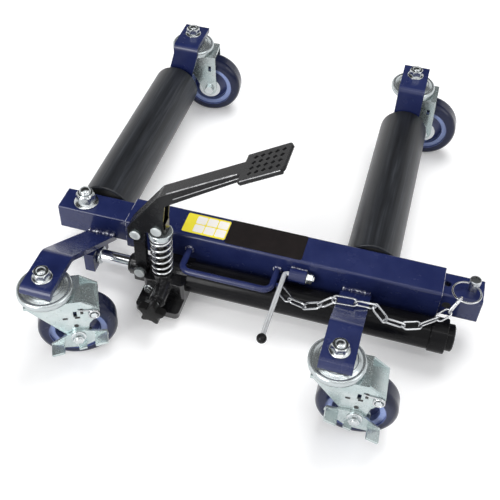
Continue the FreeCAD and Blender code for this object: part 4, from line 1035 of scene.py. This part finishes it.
@dataclass
class Caster:
    """One swivel caster: fork and wheel, and on a front one the brake and small hardware."""

    corner: Corner
    stem: Pair
    turn: float
    offset: float = 32.0
    wheel_radius: float = 50.0
    cap_face: float = 32.2
    cap: Turning = Turning(((4.4, 0.0), (4.4, 0.8), (3.6, 1.5), (2.0, 1.9), (MIDDLE, 2.0)), 32)
    washer_face: float = 26.2
    washer: Turning = Turning(((9.6, 0.0), (9.6, 0.7), (9.0, 1.1), (4.5, 1.2)), 40)
    cheek: float = 22.3
    slot_depth: float = 0.4
    slot_places: tuple[Span, ...] = (
        (19.4, 83.0, 6.0, 3.0), (34.2, 83.0, 6.0, 3.0), (40.4, 94.0, 3.6, 10.0))
    hole: Pair = (31.4, 67.5)
    # dark disc that paints the shade in the cheek's small hole
    hole_shade_disc: Turning = Turning(((MIDDLE, 0.0), (2.9, 0.0), (2.9, 0.4), (MIDDLE, 0.4)), 28)
    hook: Pair = (55.0, 89.0)
    hook_face: float = 22.4
    hook_washer: Turning = Turning(((5.2, 0.0), (5.2, 0.9), (4.6, 1.3), (4.5, 1.4)), 32)
    hook_head: Turning = Turning(((4.6, 1.3), (4.6, 4.2), (4.0, 4.9), (MIDDLE, 5.1)), 48, hexagonal(4.0))
    spring: BrakeSpring = BrakeSpring()

    @property
    def body(self) -> Body:
        """The body that holds a front caster's fork."""
        return Body(f"{self.corner.value}_caster")

    @property
    def axle(self) -> Vector:
        """Direction of the axle, to the near side at rest."""
        angle = math.radians(self.turn)
        return Vector((math.sin(angle), -math.cos(angle), 0.0))

    def spot(self, x: float, y: float, z: float) -> Vector:
        """Place a point of the fork, drawn with the wheel trailing along X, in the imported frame.

        Args:
            x: Millimetres from the swivel axis towards the wheel.
            y: Millimetres from the swivel axis to the far side.
            z: Height in millimetres.

        Returns:
            The point in metres.
        """
        angle = math.radians(self.turn)
        return at(self.stem[0] + x * math.cos(angle) - y * math.sin(angle),
                  self.stem[1] + x * math.sin(angle) + y * math.cos(angle), z)

    def build(self) -> None:
        """Dress the fork and the wheel and add the small hardware."""
        name = self.corner.value
        dress(ZINC, f"{name}_fork")
        dress(ZINC_BRIGHT, f"{name}_axle")
        centre = tuple(self.spot(self.offset, 0.0, self.wheel_radius))
        for finish, node in ((RIM, f"{name}_hub"), (TREAD, f"{name}_tread")):
            dress(replace(finish, name=f"{name} {finish.name}", centre=centre, axle=tuple(self.axle)), node)
        if self.corner.front:
            dress(ZINC, f"{name}_brake")
            self.axle_cap()
            self.hook_spring()
            # dark slabs paint the shade in the cheek's slot recesses and hole
            self.slots()

    def axle_cap(self) -> None:
        """Add the domed end of the axle bolt with its washer."""
        cap = Mesher()
        for form, face in ((self.cap, self.cap_face), (self.washer, self.washer_face)):
            cap.turned(form, self.spot(self.offset, -face, self.wheel_radius), self.axle)
        cap.piece(f"{self.corner.value}_axle_cap", ZINC_BRIGHT, self.body, Slot.ZINC)

    def slots(self) -> None:
        """Add dark slabs that paint the shade in the pressed slot recesses and in the small hole of the near
        cheek.
        """
        shade_slabs = Mesher()
        for x, z, width, height in self.slot_places:
            corners = ((-0.5, -0.5), (0.5, -0.5), (0.5, 0.5), (-0.5, 0.5))
            outline = [self.spot(x + a * width, -self.cheek, z + b * height) for a, b in corners]
            shade_slabs.slab(outline, self.axle * self.slot_depth * MM)
        shade_slabs.turned(self.hole_shade_disc, self.spot(self.hole[0], -self.cheek, self.hole[1]), self.axle)
        shade_slabs.piece(f"{self.corner.value}_slots", BUSH_AND_SHADE_BLACK, self.body, Slot.ZINC)

    def hook_spring(self) -> None:
        """Add the bolt at the fork's hook and the spring wound on it."""
        (x, z), spring = self.hook, self.spring
        foot = self.spot(x, -self.hook_face, z)
        bolt = Mesher().turned(self.hook_washer, foot, self.axle).turned(self.hook_head, foot, self.axle)
        bolt.piece(f"{self.corner.value}_hook_bolt", ZINC_BRIGHT, self.body, Slot.ZINC)
        near = -self.hook_face - spring.stand
        wire = [self.spot(a, near, b) for a, b in spring.start]
        for i in range(spring.points):
            angle = math.radians(spring.first_angle + spring.step_angle * i)
            wire.append(self.spot(x + spring.radius * math.cos(angle), near - spring.step_out * i,
                                  z + spring.radius * math.sin(angle)))
        coil = Mesher().tube(wire, spring.wire, spring.sides)
        coil.piece(f"{self.corner.value}_brake_spring", STEEL_WIRE, self.body, Slot.ZINC, sharp=WIRE_SHARP)


@dataclass
class Ram:
    """The hydraulic ram, with the trim on its axis: places along it and profiles in millimetres."""

    axis: Pair = (-23.6, 41.0)
    gland_at: float = 14.6
    gland: Turning = Turning(((9.2, 0.0), (12.4, 0.0), (13.0, 0.6), (13.0, 3.0), (12.4, 3.6)))
    collar_at: float = -31.9
    collar: Turning = Turning(
        ((9.1, 0.0), (11.6, 0.0), (12.4, 0.8), (12.4, 4.2), (11.6, 5.0), (9.1, 5.0)))
    plug_at: float = 459.0
    plug: Turning = Turning(
        ((15.2, 0.0), (15.4, 0.5), (12.0, 0.7), (11.6, 0.2), (4.0, 0.2), (3.4, 0.8), (MIDDLE, 0.9)))

    def build(self) -> None:
        """Dress the ram's pieces and add the gland nut, the rod's collar and the plug's face."""
        dress(TUBE_BLACK, "cylinder_tube", "cylinder_ring", "cylinder_plug")
        dress(CHROME, "piston_rod")
        dress(ZINC_DULL, "piston", "rod_nut")
        for name, finish, body, slot, x, form in (
            ("gland_nut", BLACK, Body.FRAME, Slot.BLACK, self.gland_at, self.gland),
            ("rod_collar", ZINC_BRIGHT, Body.ARM, Slot.ZINC, self.collar_at, self.collar),
            ("plug_face", TUBE_BLACK, Body.FRAME, Slot.BLACK, self.plug_at, self.plug),
        ):
            Trim(name, finish, body, slot, (x, *self.axis), RIGHT, (form,)).build()


@dataclass(frozen=True)
class PumpSpring:
    """The wound spring round the plunger."""

    centre: Pair = (67.5, -40.0)
    radius: float = 13.2
    wire: float = 1.7
    low: float = 61.05
    high: float = 127.95
    turns: int = 7
    end_gap: float = 0.7
    stroke: float = 21.5
    steps: int = 36
    easing: tuple[float, ...] = (-0.12, -0.06, 0.0, 0.06, 0.12)

    def height(self, turn: float) -> float:
        """Give the height of the wire, closed up over the first and the last turn.

        Args:
            turn: How many turns have been wound.

        Returns:
            The height over the wire's start in millimetres.
        """
        close = 2 * self.wire + self.end_gap
        length = self.high - self.low - 2 * self.wire
        pitch = (length - 2 * close) / (self.turns - 2)
        if turn < 1:
            return close * turn
        if turn > self.turns - 1:
            return length - close * (self.turns - turn)
        return close + pitch * (turn - 1)

    def build(self) -> None:
        """Wind the spring."""
        path = []
        for i in range(self.turns * self.steps + 1):
            turn = i / self.steps
            angle = math.tau * turn
            around = [self.height(min(max(turn + d, 0.0), self.turns)) for d in self.easing]
            path.append(at(self.centre[0] + self.radius * math.cos(angle),
                           self.centre[1] + self.radius * math.sin(angle),
                           self.low + self.wire + sum(around) / len(around)))
        coil = Mesher().tube(path, self.wire)
        spring = coil.piece("wound_spring", STEEL_WIRE, Body.FRAME, Slot.ZINC, ("plunger_spring",),
                            WIRE_SHARP)
        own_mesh(spring)


@dataclass(frozen=True)
class Bead:
    """A round bead along the pedal's arm, in millimetres: along it and over it from its tip, and sideways."""

    start: float
    end: float
    y: float
    rise: float
    end_rise: float
    radius: float
    sides: int = 12


@dataclass(frozen=True)
class PedalTrim:
    """The painted highlight lines along the edges of the pedal's arm and pad, laid as pale steel beads, and
    the turned-down lip of its pad.
    """

    elbow: Point = (71.0, 0.0, 203.0)
    tip: Point = (176.0, 0.0, 270.0)
    step: float = 3.0
    # beads that paint highlight lines along the edges of the arm and the pad
    edges: tuple[Bead, ...] = (
        Bead(-112.0, -8.0, -49.4, 0.1, 0.1, 0.9),
        Bead(-106.0, -8.0, -52.0, -8.0, -4.0, 0.6),
        Bead(-1.0, 53.0, -64.6, -0.5, -0.5, 0.6),
    )
    lip: Bead = Bead(-2.5, 53.5, -63.0, -3.3, -3.3, 3.2, 16)
    lip_end: Pair = (55.2, -2.2)
    lip_end_sides: Pair = (-60.0, -20.0)
    lip_end_radius: float = 2.3
    lip_end_steps: int = 14

    def spot(self, along: float, y: float, rise: float) -> Point:
        """Give a point of the arm.

        Args:
            along: Millimetres along the arm from its tip.
            y: Place sideways in millimetres of the drawing.
            rise: Millimetres square to the arm, upwards.

        Returns:
            The point in millimetres of the drawing.
        """
        way = (Vector(self.tip) - Vector(self.elbow)).normalized()
        place = Vector(self.tip) + way * along + Vector((-way.z, 0.0, way.x)) * rise
        return place.x, y, place.z

    def lay(self, mesher: Mesher, bead: Bead) -> None:
        """Add a bead to a mesh."""
        first, last = self.spot(bead.start, bead.y, bead.rise), self.spot(bead.end, bead.y, bead.end_rise)
        mesher.tube(line(first, last, self.step), bead.radius, bead.sides)

    def build(self) -> None:
        """Lay the painted highlight beads and the lip."""
        edges, lip = Mesher(), Mesher()
        for bead in self.edges:
            self.lay(edges, bead)
        edges.piece("pedal_edge_highlights", EDGE_HIGHLIGHT_STEEL, Body.PEDAL, Slot.BLACK, sharp=WIRE_SHARP)
        self.lay(lip, self.lip)
        along, rise = self.lip_end
        first, last = (self.spot(along, y, rise) for y in self.lip_end_sides)
        lip.tube(line(first, last, self.step), self.lip_end_radius, self.lip_end_steps)
        lip.piece("pad_lip", BLACK, Body.PEDAL, Slot.BLACK, sharp=WIRE_SHARP)


@dataclass
class Pump:
    """The foot pump: casting, plunger, link, pedal and release valve."""

    spring: PumpSpring = PumpSpring()
    pedal: PedalTrim = PedalTrim()
    pins: tuple[tuple[str, Body, Point], ...] = (
        ("base", Body.FRAME, (38.5, -52.0, 56.0)),
        ("pivot", Body.PEDAL, (38.5, -55.0, 131.8)),
        ("plunger", Body.PEDAL, (67.5, -55.0, 146.5)),
    )
    pin_face: Turning = Turning(
        ((6.6, 0.0), (7.2, 0.3), (7.2, 0.9), (6.6, 1.4), (4.0, 1.7), (MIDDLE, 1.8)), 40)
    valve: tuple[Trim, ...] = (
        Trim("valve_gland", BLACK, Body.FRAME, Slot.BLACK, (74.0, -82.0, 45.0), NEAR, (
            Turning(((10.6, 0.0), (10.6, 1.2), (9.4, 2.2), (8.2, 2.4), (8.2, 4.6), (7.4, 5.4),
                     (5.2, 5.6))),)),
        Trim("bleed_bolt", ZINC_BRIGHT, Body.FRAME, Slot.ZINC, (51.5, -55.0, 34.0), NEAR, (
            Turning(((6.0, 0.0), (6.0, 1.0), (5.2, 1.6)), 40),
            Turning(((5.0, 1.5), (5.0, 4.4), (4.4, 5.2), (MIDDLE, 5.3)), 48, hexagonal(4.4)))),
        Trim("star_knob", KNOB_BLACK, Body.VALVE, Slot.KNOB, (74.0, -93.0, 45.0), NEAR, (
            Turning(((MIDDLE, 0.0), (9.0, 0.0), (10.5, 1.0), (10.5, 2.2), (17.6, 2.8), (19.4, 4.2),
                     (19.4, 12.0), (17.6, 13.8), (11.0, 14.8), (6.0, 15.4), (MIDDLE, 15.6)), 120,
                    starred(19.4, 11.0, 5)),),
             ("release_knob",), 40.0),
    )

    def build(self) -> None:
        """Dress the pump's pieces, wind its spring and add the pins' faces, pedal trim and valve trim."""
        dress(CAST_BLACK, "pump_block")
        dress(BLACK, "pedal_link", "foot_pedal")
        dress(ZINC, "link_base_pin", "pedal_pins")
        dress(ROLLED, "spring_cap")
        dress(DARK_STEEL, "pump_plunger")
        dress(ZINC_DULL, "release_stem")
        self.spring.build()
        for name, body, foot in self.pins:
            Trim(f"{name}_pin_face", ZINC_DULL, body, Slot.ZINC, foot, NEAR, (self.pin_face,)).build()
        for part in (self.pedal, *self.valve):
            part.build()


@dataclass
class Latch:
    """The lever in its sleeve, with nut and ball."""

    def build(self) -> None:
        """Dress the latch's pieces."""
        dress(PALE_PLATE, "latch_lever")
        dress(BLACK, "latch_ball")
        dress(ZINC_BRIGHT, "latch_nut")


@dataclass
class LockPin:
    """The lock pin and its ring."""

    def build(self) -> None:
        """Dress the pin's pieces."""
        dress(KNURLED, "lock_pin")
        dress(STEEL_WIRE, "pin_ring")


@dataclass
class Chain:
    """The loose chain from the handle's eye to the lock pin's ring."""

    eye: float = 225.6
    run: float = 243.4
    reach: float = 40.0
    level: float = 68.0
    wire: float = 1.35
    half: float = 5.2
    gap: float = 0.3
    lean: float = 12.0
    bend_steps: int = 12
    neck: Point = (469.0, 25.0, 96.0)
    split: int = 8
    shares: tuple[Point, ...] = (
        (0.0001, 0.763, 0.996), (0.0739, 1.163, 0.993), (0.1643, 1.450, 1.122), (0.2470, 1.640, 1.382),
        (0.3135, 1.640, 1.640), (0.4231, 1.603, 1.647), (0.5177, 1.388, 1.525), (0.5873, 1.425, 1.252),
        (0.6819, 1.325, 1.144), (0.7672, 1.013, 1.054), (0.8482, 0.650, 1.097), (0.9002, 0.408, 1.206),
        (0.9397, 0.138, 1.441))

    def places(self) -> list[Vector]:
        """Give the places where the links meet, in millimetres of the drawing."""
        return [Vector((self.eye + a * self.run, -b * self.reach, c * self.level)) for a, b, c in self.shares]

    def hook(self, before: Vector, after: Vector) -> float:
        """Give how far two links reach past the place where they meet.

        Args:
            before: Direction of the one link.
            after: Direction of the next.

        Returns:
            The reach in millimetres.
        """
        hold = self.half - 2 * self.wire - self.gap
        bend = 1 + before.dot(after)
        room = (self.half * bend) ** 2 - 2 * bend * (self.half ** 2 - hold ** 2)
        return (self.half * bend - math.sqrt(max(room, 0.0))) / (2 * bend)

    def link(self, first: Vector, second: Vector, across: Vector, hooks: Sequence[float],
             mesher: Mesher) -> None:
        """Bend one oval link over two places.

        Args:
            first: Place where it starts, in millimetres.
            second: Place where it ends, in millimetres.
            across: Direction that it lies across.
            hooks: How far it reaches past each place.
            mesher: The mesh that it is added to.
        """
        along = (second - first).normalized()
        side = (across - along * across.dot(along)).normalized()
        near = first - along * (hooks[0] - self.half)
        far = second + along * (hooks[1] - self.half)
        path = []
        for centre, start in ((far, 90), (near, 270)):
            for k in range(self.bend_steps + 1):
                angle = math.radians(start - 180 * k / self.bend_steps)
                path.append(centre + along * self.half * math.cos(angle) + side * self.half * math.sin(angle))
        mesher.tube([at(*p) for p in path], self.wire, loop=True)

    def build(self) -> None:
        """Bend the links, in one piece for the chain and one for its end."""
        places = self.places()
        neck = Vector(self.neck)
        ways = [(b - a).normalized() for a, b in zip(places, places[1:] + [neck])]
        hooks = [self.hook(a, b) for a, b in zip(ways[:1] + ways, ways)]
        meshers = (Mesher(), Mesher())
        for i, (a, b) in enumerate(zip(places, places[1:])):
            level = ways[i].cross(UP).normalized()
            across = Matrix.Rotation(math.radians(self.lean + (90 if i % 2 else 0)), 3, ways[i]) @ level
            if i == len(places) - 2:
                across = ways[i].cross((neck - places[-1]).cross(UP))
            self.link(a, b, across, hooks[i:i + 2], meshers[i >= self.split])
        main = meshers[0].piece("chain_links", STEEL_WIRE, None, Slot.CHROME, ("safety_chain",), WIRE_SHARP)
        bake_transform(main)
        end = meshers[1].piece("chain_end_links", STEEL_WIRE, None, Slot.CHROME, ("chain_end",), WIRE_SHARP)
        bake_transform(end)


@dataclass
class Fasteners:
    """Swivel cups, the swivel bolts with their flange nuts, and the inner tube's flange bolt."""

    casters: Sequence[Caster]
    plate: float = 139.0
    bolt_sharp: float = 25.0
    cup_sharp: float = 50.0
    swivel_bolt: tuple[Turning, ...] = (
        Turning(((MIDDLE, -36.4), (9.4, -36.4), (10.0, -35.8), (10.0, -32.4), (6.0, -32.4), (6.0, 3.0)), 40),
        Turning(((12.3, 0.0), (12.5, 0.4), (12.5, 1.1), (12.1, 1.6), (11.0, 2.1), (9.4, 3.0),
                 (8.8, 3.0)), 56),
        Turning(((9.0, 2.4), (10.5, 3.0), (10.5, 9.6), (10.0, 10.5), (9.0, 11.4), (6.9, 11.5),
                 (6.3, 10.9)), 72, hexagonal(9.1)),
        Turning(((6.0, 10.8), (6.0, 11.4), (5.4, 11.7), (6.0, 12.0), (5.4, 12.3), (5.7, 12.7), (4.8, 13.5),
                 (3.4, 14.1), (1.8, 14.4), (MIDDLE, 14.5)), 40),
    )
    cup: Turning = Turning((
        (6.2, 114.5), (33.6, 114.5), (34.3, 115.1), (34.4, 118.4), (34.1, 120.6), (33.1, 122.2),
        (31.6, 123.1), (30.4, 123.2), (29.6, 122.7), (28.9, 122.9), (27.9, 123.8), (25.4, 124.7),
        (23.9, 125.6), (23.3, 125.1), (22.6, 125.3), (21.2, 126.4), (17.4, 127.7), (14.6, 128.5),
        (14.0, 129.3), (14.0, 132.0), (6.2, 132.0)), 96)
    arm_bolt_foot: Point = (-67.5, 25.0, 88.0)
    arm_bolt: tuple[Turning, ...] = (
        Turning(((16.6, 0.0), (17.0, 0.5), (17.0, 1.4), (16.2, 2.2), (14.2, 3.0), (12.4, 4.4),
                 (11.0, 5.0)), 64),
        Turning(((11.6, 3.4), (13.5, 4.6), (13.5, 13.6), (12.6, 15.2), (11.4, 16.2)), 72, hexagonal(11.7)),
        Turning(((10.9, 15.4), (10.9, 16.8), (10.2, 17.8), (8.6, 18.0), (8.2, 17.4)), 56),
        Turning(((8.0, 17.0), (8.0, 18.6), (7.3, 19.2), (8.0, 19.8), (7.3, 20.4), (8.0, 21.0), (7.3, 21.6),
                 (7.4, 22.2), (6.2, 23.6), (4.4, 24.5), (2.2, 24.9), (MIDDLE, 25.0))),
        Turning(((8.0, -40.0), (8.0, 3.6)), 40),
        Turning(((11.4, -49.0), (13.5, -48.0), (13.5, -40.0)), 72, hexagonal(11.7)),
    )

    def build(self) -> None:
        """Make the cups and bolts of each side and the inner tube's flange bolt."""
        for side in Side:
            bolts, cups = Mesher(), Mesher()
            for caster in self.casters:
                if caster.corner.side is side:
                    cups.turned(self.cup, at(*caster.stem, 0.0), UP)
                    for form in self.swivel_bolt:
                        bolts.turned(form, at(*caster.stem, self.plate), UP)
            bolts.piece(f"{side.word}_flange_nuts", ZINC_BRIGHT, side.value, Slot.ZINC,
                        (f"{side.word}_swivel_bolts",), self.bolt_sharp)
            cups.piece(f"{side.word}_rolled_cups", ROLLED, side.value, Slot.ZINC,
                       (f"{side.word}_swivel_cups",), self.cup_sharp)
        Trim("arm_flange_bolt", ZINC_BRIGHT, Body.ARM, Slot.ZINC, self.arm_bolt_foot, UP, self.arm_bolt,
             ("arm_bolt",), self.bolt_sharp).build()


def stand_sheet(name: str, points: Sequence[Point], faces: Sequence[tuple[int, ...]],
                material: bpy.types.Material) -> None:
    """Add a sheet to the stage round the jack.

    Args:
        name: The sheet's name.
        points: Its points in metres.
        faces: Its faces, as numbers of points.
        material: What it shows.
    """
    mesh = bpy.data.meshes.new(name)
    mesh.from_pydata(points, [], faces)
    mesh.materials.append(material)
    sheet = bpy.data.objects.new(name, mesh)
    bpy.context.scene.collection.objects.link(sheet)


@dataclass(frozen=True)
class Card:
    """A dark curved card outside the picture, for dark reflections.

    It spans degrees round the jack, from the back to the right, and degrees over the floor.
    """

    name: str
    turn: Pair
    rise: Pair
    reach: float
    level: float
    across: int = 24
    up: int = 8

    def build(self) -> None:
        """Stand the card."""
        points, faces = [], []
        for j in range(self.up + 1):
            high = math.radians(self.rise[0] + (self.rise[1] - self.rise[0]) * j / self.up)
            for i in range(self.across + 1):
                angle = math.radians(self.turn[0] + (self.turn[1] - self.turn[0]) * i / self.across)
                way = (math.sin(angle) * math.cos(high), math.cos(angle) * math.cos(high), math.sin(high))
                points.append(tuple(self.reach * part for part in way))
        row = self.across + 1
        for j in range(self.up):
            for i in range(self.across):
                k = j * row + i
                faces.append((k, k + 1, k + row + 1, k + row))
        cloth, graph = blank_material(f"{self.name} cloth")
        glow = graph.add("ShaderNodeEmission", {"Color": (*WHITE, 1.0), "Strength": self.level})
        graph.close(glow.outputs[0])
        stand_sheet(self.name, points, faces, cloth)


@dataclass(frozen=True)
class Lamp:
    """A soft oblong lamp: where it hangs and faces and its sides in metres, and its power in watts."""

    name: str
    place: Point
    aim: Point
    size: Pair
    power: float
    mirrored: bool = True

    def build(self) -> None:
        """Hang the lamp."""
        data = bpy.data.lights.new(self.name, "AREA")
        data.energy = self.power
        data.shape = "RECTANGLE"
        data.size, data.size_y = self.size
        lamp = bpy.data.objects.new(self.name, data)
        lamp.visible_glossy = self.mirrored
        lamp.location = self.place
        lamp.rotation_euler = (Vector(self.aim) - Vector(self.place)).to_track_quat("-Z", "Y").to_euler()
        bpy.context.scene.collection.objects.link(lamp)


@dataclass
class Studio:
    """Floor, light and camera."""

    azimuth: float = 13.4
    elevation: float = 46.6
    roll: float = 3.1
    lens: float = 58.96
    sensor: float = 36.0
    sight: float = 50.0
    eye: Point = (349.3, -724.7, 881.0)
    floor_half: float = 6.0
    floor_colour: Colour = (0.90, 0.90, 0.90)
    glow_span: Pair = (0.7, 2.4)
    glow: Pair = (0.20, 0.80)
    room: Stops = (
        (0.0, (0.55, 0.55, 0.55)), (0.50, (0.62, 0.62, 0.62)), (0.62, (0.42, 0.42, 0.43)),
        (0.82, (0.30, 0.30, 0.31)), (1.0, (0.55, 0.55, 0.56)))
    card: Card = Card("back_card", (-125.0, 52.0), (24.0, 74.0), 2.6, 0.035)
    lamps: tuple[Lamp, ...] = (
        Lamp("top_light", (0.15, 0.85, 2.0), (0.0, 0.0, 0.05), (1.2, 1.2), 31.0, mirrored=False),
        Lamp("side_light", (1.7, -0.3, 1.2), (0.0, 0.0, 0.1), (1.0, 1.0), 7.0),
        Lamp("front_light", (-0.9, -1.7, 0.9), (0.0, 0.0, 0.1), (1.2, 1.0), 26.0),
        Lamp("strip_light", (0.1, -0.75, 1.6), (0.1, -0.05, 0.08), (1.8, 0.10), 3.0),
    )

    def build(self) -> None:
        """Set the floor, the surroundings, the card, the lamps and the camera."""
        bpy.context.scene.view_settings.view_transform = "Standard"
        self.floor()
        self.surroundings()
        for light in (self.card, *self.lamps):
            light.build()
        self.camera()

    def floor(self) -> None:
        """Lay the pale floor, which glows a little to the camera, more so far away."""
        made, graph = blank_material("pale floor")
        matte = graph.add("ShaderNodeBsdfDiffuse", {"Color": (*self.floor_colour, 1.0)}).outputs[0]
        spot = graph.add("ShaderNodeNewGeometry").outputs["Position"]
        level = graph.spread(graph.vector("LENGTH", spot, result="Value"), *self.glow_span, *self.glow)
        shown = graph.math("MULTIPLY", graph.seen(), level)
        glow = graph.add("ShaderNodeEmission", {"Color": (*WHITE, 1.0), "Strength": shown}).outputs[0]
        graph.close(graph.add("ShaderNodeAddShader", {0: matte, 1: glow}).outputs[0])
        half = self.floor_half
        stand_sheet("floor", [(-half, -half, 0.0), (half, -half, 0.0), (half, half, 0.0), (-half, half, 0.0)],
                    [(0, 1, 2, 3)], made)

    def surroundings(self) -> None:
        """Set a pale room that is white to the camera."""
        world = bpy.data.worlds.new("studio")
        bpy.context.scene.world = world
        world.use_nodes = True
        graph = Graph(world.node_tree)
        way = graph.add("ShaderNodeTexCoord").outputs["Generated"]
        height = graph.add("ShaderNodeSeparateXYZ", {0: way}).outputs["Z"]
        room = graph.ramp(graph.spread(height, -1.0, 1.0), self.room)
        tone = graph.blend(graph.seen(), room, WHITE)
        back = graph.add("ShaderNodeBackground", {"Color": tone, "Strength": 1.0})
        graph.close(back.outputs[0], "ShaderNodeOutputWorld")

    def camera(self) -> None:
        """Stand the camera where the photograph was taken."""
        az, el, roll = (math.radians(v) for v in (self.azimuth, self.elevation, self.roll))
        back = Vector((math.sin(az) * math.cos(el), -math.cos(az) * math.cos(el), math.sin(el)))
        right = (-back).cross(UP).normalized()
        up = right.cross(-back)
        x_axis = right * math.cos(roll) + up * math.sin(roll)
        y_axis = up * math.cos(roll) - right * math.sin(roll)
        data = bpy.data.cameras.new("camera")
        data.lens = self.lens
        data.sensor_width = self.sensor
        data.clip_end = self.sight
        camera = bpy.data.objects.new("camera", data)
        turn = Matrix((x_axis, y_axis, back)).transposed().to_4x4()
        camera.matrix_world = Matrix.Translation(at(*self.eye)) @ turn
        bpy.context.scene.collection.objects.link(camera)
        bpy.context.scene.camera = camera


def main() -> None:
    """Build the sub-assemblies in order and report each."""
    logging.basicConfig(level=logging.INFO, format="%(name)s: %(message)s")
    casters = [
        Caster(Corner.FRONT_LEFT, (-38.0, -160.5), 26.0),
        Caster(Corner.FRONT_RIGHT, (324.5, -160.5), 3.0),
        Caster(Corner.REAR_LEFT, (-35.5, 403.3), 6.0),
        Caster(Corner.REAR_RIGHT, (334.0, 403.3), 0.0),
    ]
    for part in (Beam(), Rollers(), Brackets(), *casters, Ram(), Pump(), Latch(), LockPin(), Chain(),
                 Fasteners(casters), Studio()):
        part.build()
        LOG.info("finished %s", type(part).__name__)


if __name__ == "__main__":
    main()
